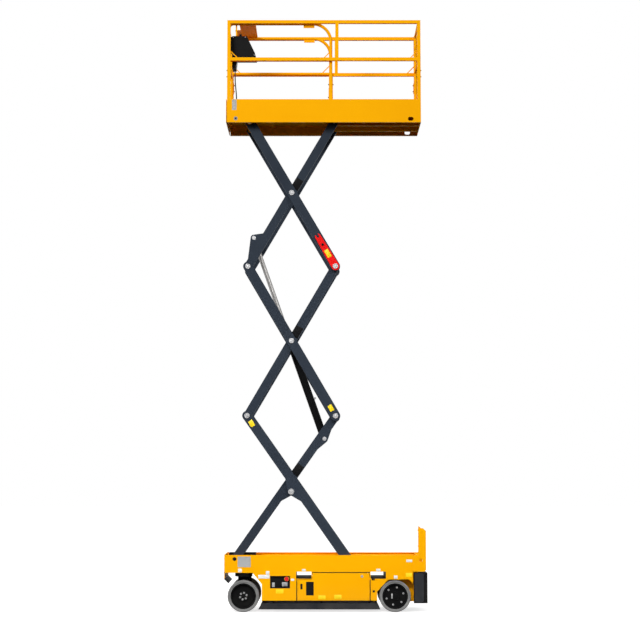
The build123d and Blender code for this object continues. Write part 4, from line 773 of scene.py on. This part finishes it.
ground = {
    "stop": (-0.471, 0.397), "stopFace": -0.397, "panelFace": -0.3745, "switchFace": -0.389,
    "stopRadius": 0.0265, "stopFoot": 0.0010, "stopDraw": 0.004, "stopRise": 0.0038,
    "collar": [(0.0300, 0.0), (0.0300, 0.0030), (0.0288, 0.0042), (0.0225, 0.0042), (0.0222, 0.0010)],
    "key": (-0.498, 0.328), "bladeFace": -0.391, "blade": (0.004, 0.018, 0.0015),
    "keyBody": [(0.0135, 0.0), (0.0135, 0.0030), (0.0120, 0.0045), (0.0070, 0.0045), (0.0065, 0.0030),
                (0.0030, 0.0030)],
    "bladeRows": [(0, 0), (0, 0.0065), (0.0006, 0.0072)],
    "toggles": [(-0.600, 0.328), (-0.540, 0.328)],
    "legendRows": [(0, 0), (0, 0.0008), (0.0005, 0.0012)],
    "legends": {"blankKeyLegend": (-0.527, -0.460, 0.309, 0.358),
                "blankSideLegend": (-0.648, -0.615, 0.300, 0.355)},
}


def stopProfile():
    # mushroom head: an upright foot, a quarter-ellipse shoulder and a nearly flat top
    radius, foot = ground["stopRadius"], ground["stopFoot"]
    draw, rise = ground["stopDraw"], ground["stopRise"]
    bends = np.linspace(0, math.pi / 2, 6)[1:]
    shoulder = [(radius - draw * (1 - math.cos(bend)), foot + rise * math.sin(bend)) for bend in bends]
    return [(radius, 0.0), (radius, foot)] + shoulder + [(0.010, 0.0052), (0.004, 0.0053)]


def bootProfile(foot, taper, ripple, turns, height, rows):
    # rubber boot: radius falls evenly with height, with a cosine ripple for its folds
    return [(foot - taper * h + ripple * math.cos(h * turns * math.pi), height * h)
            for h in np.linspace(0, 1, rows)]


stopHead = turned(stopProfile(), sidePoint(*ground["stop"], ground["stopFace"]), left, steps=40)
makePiece("stopHead", [stopHead], redPlastic, "chassis")
stopCollar = turned(ground["collar"], sidePoint(*ground["stop"], ground["panelFace"]), left, steps=40)
makePiece("stopCollar", [stopCollar], yellowLabel, "chassis")
keyBody = turned(ground["keyBody"], sidePoint(*ground["key"], ground["switchFace"]), left, steps=32)
keyBlade = plate(sidePoint(*ground["key"], ground["bladeFace"]), alongX, upZ,
                 roundedOutline(*ground["blade"]), ground["bladeRows"])
makePiece("keySwitch", [keyBody, keyBlade], zincPlate, "chassis")
toggleBoot = bootProfile(foot=0.0090, taper=0.0045, ripple=0.0012, turns=4, height=0.0085, rows=9)
boots = [turned(toggleBoot, sidePoint(*place, ground["switchFace"]), left, steps=24)
         for place in ground["toggles"]]
makePiece("toggleBoots", boots, blackPlastic, "chassis")
for name, limits in ground["legends"].items():
    legend = boxPlate(limits, ground["panelFace"], filmRadius, ground["legendRows"])
    makePiece(name, [legend], greyLabel, "chassis")
print("ground controls dressed")


# Blank labels on the scissor arms and the prop

armLabel = {"size": (0.080, 0.055), "along": 0.112, "midFace": -0.265, "lowFace": -0.317}
propDress = {
    "face": -0.282, "labelAlong": 0.185, "labelSize": (0.105, 0.052), "knobAlong": 0.315,
    "knob": [(0.0150, 0.0), (0.0150, 0.0030), (0.0110, 0.0040), (0.0110, 0.0110), (0.0140, 0.0120),
             (0.0120, 0.0165), (0.0050, 0.0175)],
}
plateRadius = 0.003


def alongArm(start, end, distance):
    # unit direction from one pin to another, and the place a distance along it
    run = (end - start) / np.linalg.norm(end - start)
    return run, start + distance * run


def armPlate(start, end, faceY, along, size, rows):
    # small plate on an arm's outer face, square to the arm, a distance from its pin
    run, place = alongArm(start, end, along)
    outline = roundedOutline(*size, plateRadius)
    return plate(sidePoint(place[0], place[2], faceY), run, np.cross(left, run), outline, rows)


midLabel = armPlate(lowTopRear, midTopFront, armLabel["midFace"], armLabel["along"], armLabel["size"],
                    filmRows)
makePiece("armLabelMid", [midLabel], yellowLabel, "mid_outer")
lowLabel = armPlate(lowTopFront, lowCross, armLabel["lowFace"], armLabel["along"], armLabel["size"], filmRows)
makePiece("armLabelLow", [lowLabel], yellowLabel, "low_outer")
propLabel = armPlate(midTopRear, deckPin, propDress["face"], propDress["labelAlong"],
                     propDress["labelSize"], filmRows)
makePiece("propLabel", [propLabel], yellowLabel, "prop")
knobOn = alongArm(midTopRear, deckPin, propDress["knobAlong"])[1]
knobShell = turned(propDress["knob"], sidePoint(knobOn[0], knobOn[2], propDress["face"]), left, steps=28)
makePiece("propKnob", [knobShell], blackPlastic, "prop")

# thin black sheets on the inner arms, just above each crossing: painted shadow of the outer arms
paintedShadowPad = {"along": 0.1335, "size": (0.143, 0.098), "rows": [(0, 0), (0, 0.0007), (0.0006, 0.0010)]}
lowBarCross = basePin + (lowTopRear - basePin) * (lowCross[0] - basePin[0]) / (lowTopRear[0] - basePin[0])
paintedShadowPlaces = {"low_inner": (lowBarCross, lowTopRear, -0.175), "mid_inner": (midCross, midTopRear, -0.220),
              "top_inner": (topCross, 2 * topCross - midTopFront, -0.220)}
for body, (crossing, end, faceY) in paintedShadowPlaces.items():
    padShell = armPlate(crossing, end, faceY, paintedShadowPad["along"], paintedShadowPad["size"], paintedShadowPad["rows"])
    makePiece("paintedShadowPad_" + body, [padShell], blackPlastic, body)
print("arm labels laid")


# Lift cylinder: gland collar, foot ring and port fitting on the barrel

cylinder = {
    "length": 1.300, "portAlong": 0.520, "portOut": 0.045,
    "gland": [(0.0470, -0.048), (0.0515, -0.046), (0.0515, -0.006), (0.0490, -0.001), (0.0400, 0.004),
              (0.0290, 0.004)],
    "foot": [(0.0470, 0.060), (0.0510, 0.062), (0.0510, 0.078), (0.0470, 0.080)],
    "port": [(0.0160, 0.0), (0.0160, 0.0140), (0.0140, 0.0160), (0.0105, 0.0160), (0.0105, 0.0260),
             (0.0080, 0.0280)],
}
barrelSwing = jointPlace["barrel_swing"]
rodSlide = next(np.array(j["axis"]) for j in frame["joints"] if j["name"] == "rod_stroke")
barrelTop = barrelSwing + cylinder["length"] * rodSlide
collars = [turned(cylinder["gland"], barrelTop, rodSlide, steps=48),
           turned(cylinder["foot"], barrelSwing, rodSlide, steps=48)]
makePiece("barrelCollars", collars, blackPaint, "barrel", bevel=0.0006)
portAxis = np.cross(right, rodSlide)
portPlace = barrelSwing + cylinder["portAlong"] * rodSlide + cylinder["portOut"] * portAxis
portShell = turned(cylinder["port"], portPlace, portAxis, hexagon)
makePiece("barrelPort", [portShell], zincPlate, "barrel", bevel=0.0006)
print("cylinder dressed")


# Platform control box: stick boot, stop head, ribbed front pad and screws

box = {
    "front": -1.172, "rear": -0.864, "left": -0.313, "top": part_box("control_box")[1][2] - 0.150,
    "stick": (0.100, -0.227), "stop": (0.150, -0.190),
    "knob": [(0.0125, 0.024), (0.0145, 0.030), (0.0160, 0.038), (0.0145, 0.046), (0.0100, 0.0490),
             (0.0040, 0.0495)],
    "stopHead": [(0.0120, 0.0), (0.0120, 0.0060), (0.0190, 0.0070), (0.0190, 0.0130), (0.0165, 0.0165),
                 (0.0080, 0.0175)],
    "screw": [(0.0055, 0.0), (0.0055, 0.0018), (0.0045, 0.0026), (0.0015, 0.0026)],
}
stickPlace = np.array([box["front"] + box["stick"][0], box["stick"][1], box["top"]])
stickBoot = bootProfile(foot=0.0235, taper=0.0095, ripple=0.0014, turns=6, height=0.028, rows=13)
stickShells = [turned(profile, stickPlace, upZ, steps=32) for profile in (stickBoot, box["knob"])]
makePiece("stickBoot", stickShells, blackPlastic, "extension")
boxStopPlace = np.array([box["front"] + box["stop"][0], box["stop"][1], box["top"]])
boxStop = turned(box["stopHead"], boxStopPlace, upZ, steps=36)
makePiece("boxStop", [boxStop], redPlastic, "extension")
frontPad = {"y": -0.230, "width": 0.150, "height": 0.190, "radius": 0.014, "below": 0.004,
            "rows": [(0, -0.001), (0, 0.014), (0.004, 0.0185), (0.010, 0.0195)],
            "ridges": 4, "ridgeWidth": 0.010, "ridgeShort": 0.040,
            "ridgeRows": [(0, 0.0), (0, 0.0215), (0.0015, 0.0235)]}
padCentre = np.array([box["front"], frontPad["y"], box["top"] - frontPad["height"] / 2 - frontPad["below"]])
padOutline = roundedOutline(frontPad["width"], frontPad["height"], frontPad["radius"])
padShells = [plate(padCentre, left, upZ, padOutline, frontPad["rows"])]
ridgeOutline = roundedOutline(frontPad["ridgeWidth"], frontPad["height"] - frontPad["ridgeShort"],
                              frontPad["ridgeWidth"] / 2)
ridgePitch = frontPad["width"] / (frontPad["ridges"] + 1)
for index in range(frontPad["ridges"]):
    ridgeCentre = padCentre + left * (ridgePitch * (index + 1) - frontPad["width"] / 2)
    padShells.append(plate(ridgeCentre, left, upZ, ridgeOutline, frontPad["ridgeRows"]))
makePiece("consoleFrontPad", padShells, blackPlastic, "extension", bevel=0.0008)
screwPlaces = [(box["front"] + 0.015, box["top"] - 0.015), (box["front"] + 0.165, box["top"] - 0.015),
               (box["front"] + 0.015, box["top"] - 0.240), (box["rear"] - 0.030, box["top"] - 0.245)]
screws = [turned(box["screw"], sidePoint(*place, box["left"]), left, steps=14) for place in screwPlaces]
makePiece("boxScrews", screws, zincPlate, "extension")
print("control box dressed")


# Chassis sides: hinge straps behind each door and a plug over each base pin

strap = {"limits": [(0.560, 0.600, 0.382, 0.400), (0.572, 0.600, 0.236, 0.262)], "radius": 0.005,
         "rows": [(0, 0), (0, 0.0018), (0.0010, 0.0026)],
         "rivet": [(0.0040, 0.002), (0.0034, 0.0040), (0.0012, 0.0046)], "rivetInset": 0.010}
plug = {"place": (-1.103, 0.638),
        "body": [(0.0230, 0.0), (0.0230, 0.0022), (0.0205, 0.0036), (0.0100, 0.0044), (0.0030, 0.0046)]}
for sideName, axis in sides.items():
    faceY = sideFace * axis[1]
    shells = [boxPlate(limits, faceY, strap["radius"], strap["rows"]) for limits in strap["limits"]]
    for lowX, highX, lowZ, highZ in strap["limits"]:
        for x in (lowX + strap["rivetInset"], highX - strap["rivetInset"]):
            shells.append(turned(strap["rivet"], sidePoint(x, (lowZ + highZ) / 2, faceY), axis, steps=14))
    shells.append(turned(plug["body"], sidePoint(*plug["place"], faceY), axis, steps=36))
    makePiece("strapsAndPlug_" + sideName, shells, blackPlastic, "chassis")
print("sides dressed")


# Rail sockets: bolts through each corner sleeve and each extension post, along the length of the platform

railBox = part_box("platform_rails")
railBolt = {
    "head": [(0.0105, 0.0), (0.0105, 0.0020), (0.0085, 0.0025), (0.0085, 0.0070), (0.0070, 0.0080),
             (0.0030, 0.0082)],
    "heights": (6.618, 6.697), "line": 0.385, "sleeve": 0.046,
    "post": (0.071, 0.336, 6.53), "postRadius": 0.0245,
}
boltShells = []
for y in (-railBolt["line"], railBolt["line"]):
    for z in railBolt["heights"]:
        for x, axis in ((railBox[0][0], -alongX), (railBox[0][0] + railBolt["sleeve"], alongX),
                        (railBox[1][0] - railBolt["sleeve"], -alongX), (railBox[1][0], alongX)):
            boltShells.append(turned(railBolt["head"], np.array([x, y, z]), axis, hexagon))
makePiece("railBolts", boltShells, blackPaint, "platform", bevel=0.0004)
postX, postY, postZ = railBolt["post"]
postBolts = []
for y in (-postY, postY):
    for axis in (-alongX, alongX):
        place = np.array([postX, y, postZ]) + railBolt["postRadius"] * axis
        postBolts.append(turned(railBolt["head"], place, axis, hexagon))
makePiece("postBolts", postBolts, blackPaint, "extension", bevel=0.0004)
print("rails dressed")


# Front bumper screws, rear step tread ribs and side pads

bumper = {"face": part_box("front_bumper")[0][0], "across": (-0.34, -0.12, 0.12, 0.34),
          "heights": (0.470, 0.640),
          "screw": [(0.0115, 0.0), (0.0115, 0.0015), (0.0090, 0.0020), (0.0088, 0.0060), (0.0050, 0.0070)]}
bumperScrews = [turned(bumper["screw"], np.array([bumper["face"], y, z]), -alongX, steps=18)
                for y in bumper["across"] for z in bumper["heights"]]
makePiece("bumperScrews", bumperScrews, zincPlate, "chassis")
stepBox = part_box("rear_step")
tread = {"size": (0.006, 0.380, 0.003), "floors": (0.170, 0.320), "count": 4, "start": 0.052, "pitch": 0.012,
         "rows": [(0, -0.0005), (0, 0.0010), (0.0010, 0.0022), (0.0020, 0.0024)]}
treadOutline = roundedOutline(*tread["size"])
treadLines = [stepBox[1][0] - tread["start"] + tread["pitch"] * index for index in range(tread["count"])]
treads = [plate(np.array([x, 0.0, floorZ]), alongX, right, treadOutline, tread["rows"])
          for floorZ in tread["floors"] for x in treadLines]
makePiece("stepRibs", treads, blackPlastic, "chassis")
stepPad = {"inset": 0.010, "length": 0.112, "radius": 0.028,
           "rows": [(0, 0), (0, 0.0025), (0.002, 0.0045), (0.006, 0.005)]}
padStart = stepBox[0][0] + stepPad["inset"]
padLimits = (padStart, padStart + stepPad["length"],
             stepBox[0][2] + stepPad["inset"], stepBox[1][2] - stepPad["inset"])
stepPads = [boxPlate(padLimits, stepCorner[1], stepPad["radius"], stepPad["rows"]) for stepCorner in stepBox]
makePiece("stepSidePads", stepPads, slatePaint, "chassis")
print("ends dressed")


# Studio

def seenDirectly(tree):
    # one for rays from the camera, off shiny metal or through glass, nought for light bounced off matt faces
    rays = addNode(tree, "ShaderNodeLightPath").outputs
    seenOrShiny = maths(tree, "MAXIMUM", rays["Is Camera Ray"], rays["Is Glossy Ray"])
    return maths(tree, "MAXIMUM", seenOrShiny, rays["Is Transmission Ray"])


def twoSights(tree, outputKind, bounced, seen):
    # one shader for light bounced off matt faces, the other for what is seen
    mixed = addNode(tree, "ShaderNodeMixShader", {0: seenDirectly(tree), 1: bounced, 2: seen})
    addNode(tree, outputKind, {"Surface": mixed.outputs[0]})


white = (1, 1, 1, 1)
floor = {"half": 80.0, "steps": 3, "height": -0.0005, "shown": (0.5, 0.5, 0.5, 1), "glow": 0.72,
         "bounce": (0.035, 0.035, 0.035, 1)}
gridLine = np.linspace(-floor["half"], floor["half"], floor["steps"])
floorX, floorY = np.meshgrid(gridLine, gridLine, indexing="ij")
floorVerts = np.column_stack([floorX.ravel(), floorY.ravel(), np.full(floorX.size, floor["height"])])
steps = floor["steps"]
r, c = np.meshgrid(np.arange(steps - 1), np.arange(steps - 1), indexing="ij")
here, beyond = r * steps + c, (r + 1) * steps + c
floorQuads = np.stack([here, beyond, beyond + 1, here + 1], axis=-1)
floorMesh = bpy.data.meshes.new("studioFloor")
floorMesh.from_pydata(floorVerts.tolist(), [], floorQuads.reshape(-1, 4).tolist())
floorMaterial = bpy.data.materials.new("studioFloor")
floorMaterial.use_nodes = True
floorTree = floorMaterial.node_tree
floorTree.nodes.clear()
floorShown = addNode(floorTree, "ShaderNodeBsdfDiffuse", {"Color": floor["shown"]}).outputs[0]
floorGlow = addNode(floorTree, "ShaderNodeEmission", {"Color": white, "Strength": floor["glow"]}).outputs[0]
floorSum = addNode(floorTree, "ShaderNodeAddShader", {0: floorShown, 1: floorGlow}).outputs[0]
floorBounce = addNode(floorTree, "ShaderNodeBsdfDiffuse", {"Color": floor["bounce"]}).outputs[0]
twoSights(floorTree, "ShaderNodeOutputMaterial", floorBounce, floorSum)
floorMesh.materials.append(floorMaterial)
floorObject = bpy.data.objects.new("studioFloor", floorMesh)
scene.collection.objects.link(floorObject)

backdrop = {"softSky": 0.7, "whiteWall": 1.0}
world = bpy.data.worlds.new("studioWorld")
scene.world = world
world.use_nodes = True
worldTree = world.node_tree
worldTree.nodes.clear()
softSky, whiteWall = (
    addNode(worldTree, "ShaderNodeBackground", {"Color": white, "Strength": strength}).outputs[0]
    for strength in (backdrop["softSky"], backdrop["whiteWall"])
)
twoSights(worldTree, "ShaderNodeOutputWorld", softSky, whiteWall)

# each lamp aims at a height on the machine's middle line
lamps = {
    "keyPanel": {"place": (-7.0, -11.0, 10.5), "aim": 2.6, "size": 4.0, "power": 1050.0, "spread": 180},
    "fillPanel": {"place": (9.0, -9.0, 9.0), "aim": 2.0, "size": 4.0, "power": 350.0, "spread": 180},
    "lowPanel": {"place": (-0.5, -9.0, 6.8), "aim": 0.25, "size": 2.5, "power": 38.0, "spread": 50},
    "backPanel": {"place": (3.0, 10.0, 10.0), "aim": 3.5, "size": 4.0, "power": 260.0, "spread": 180},
}
for name, lamp in lamps.items():
    lampData = bpy.data.lights.new(name, "AREA")
    lampData.size = lamp["size"]
    lampData.energy = lamp["power"]
    lampData.spread = math.radians(lamp["spread"])
    lampObject = bpy.data.objects.new(name, lampData)
    lampObject.location = lamp["place"]
    aim = lamp["aim"] * upZ - np.array(lamp["place"])
    aim = aim / np.linalg.norm(aim)
    lampObject.rotation_euler = (math.acos(-aim[2]), 0, math.atan2(aim[1], aim[0]) - math.pi / 2)
    scene.collection.objects.link(lampObject)
print("studio lit")
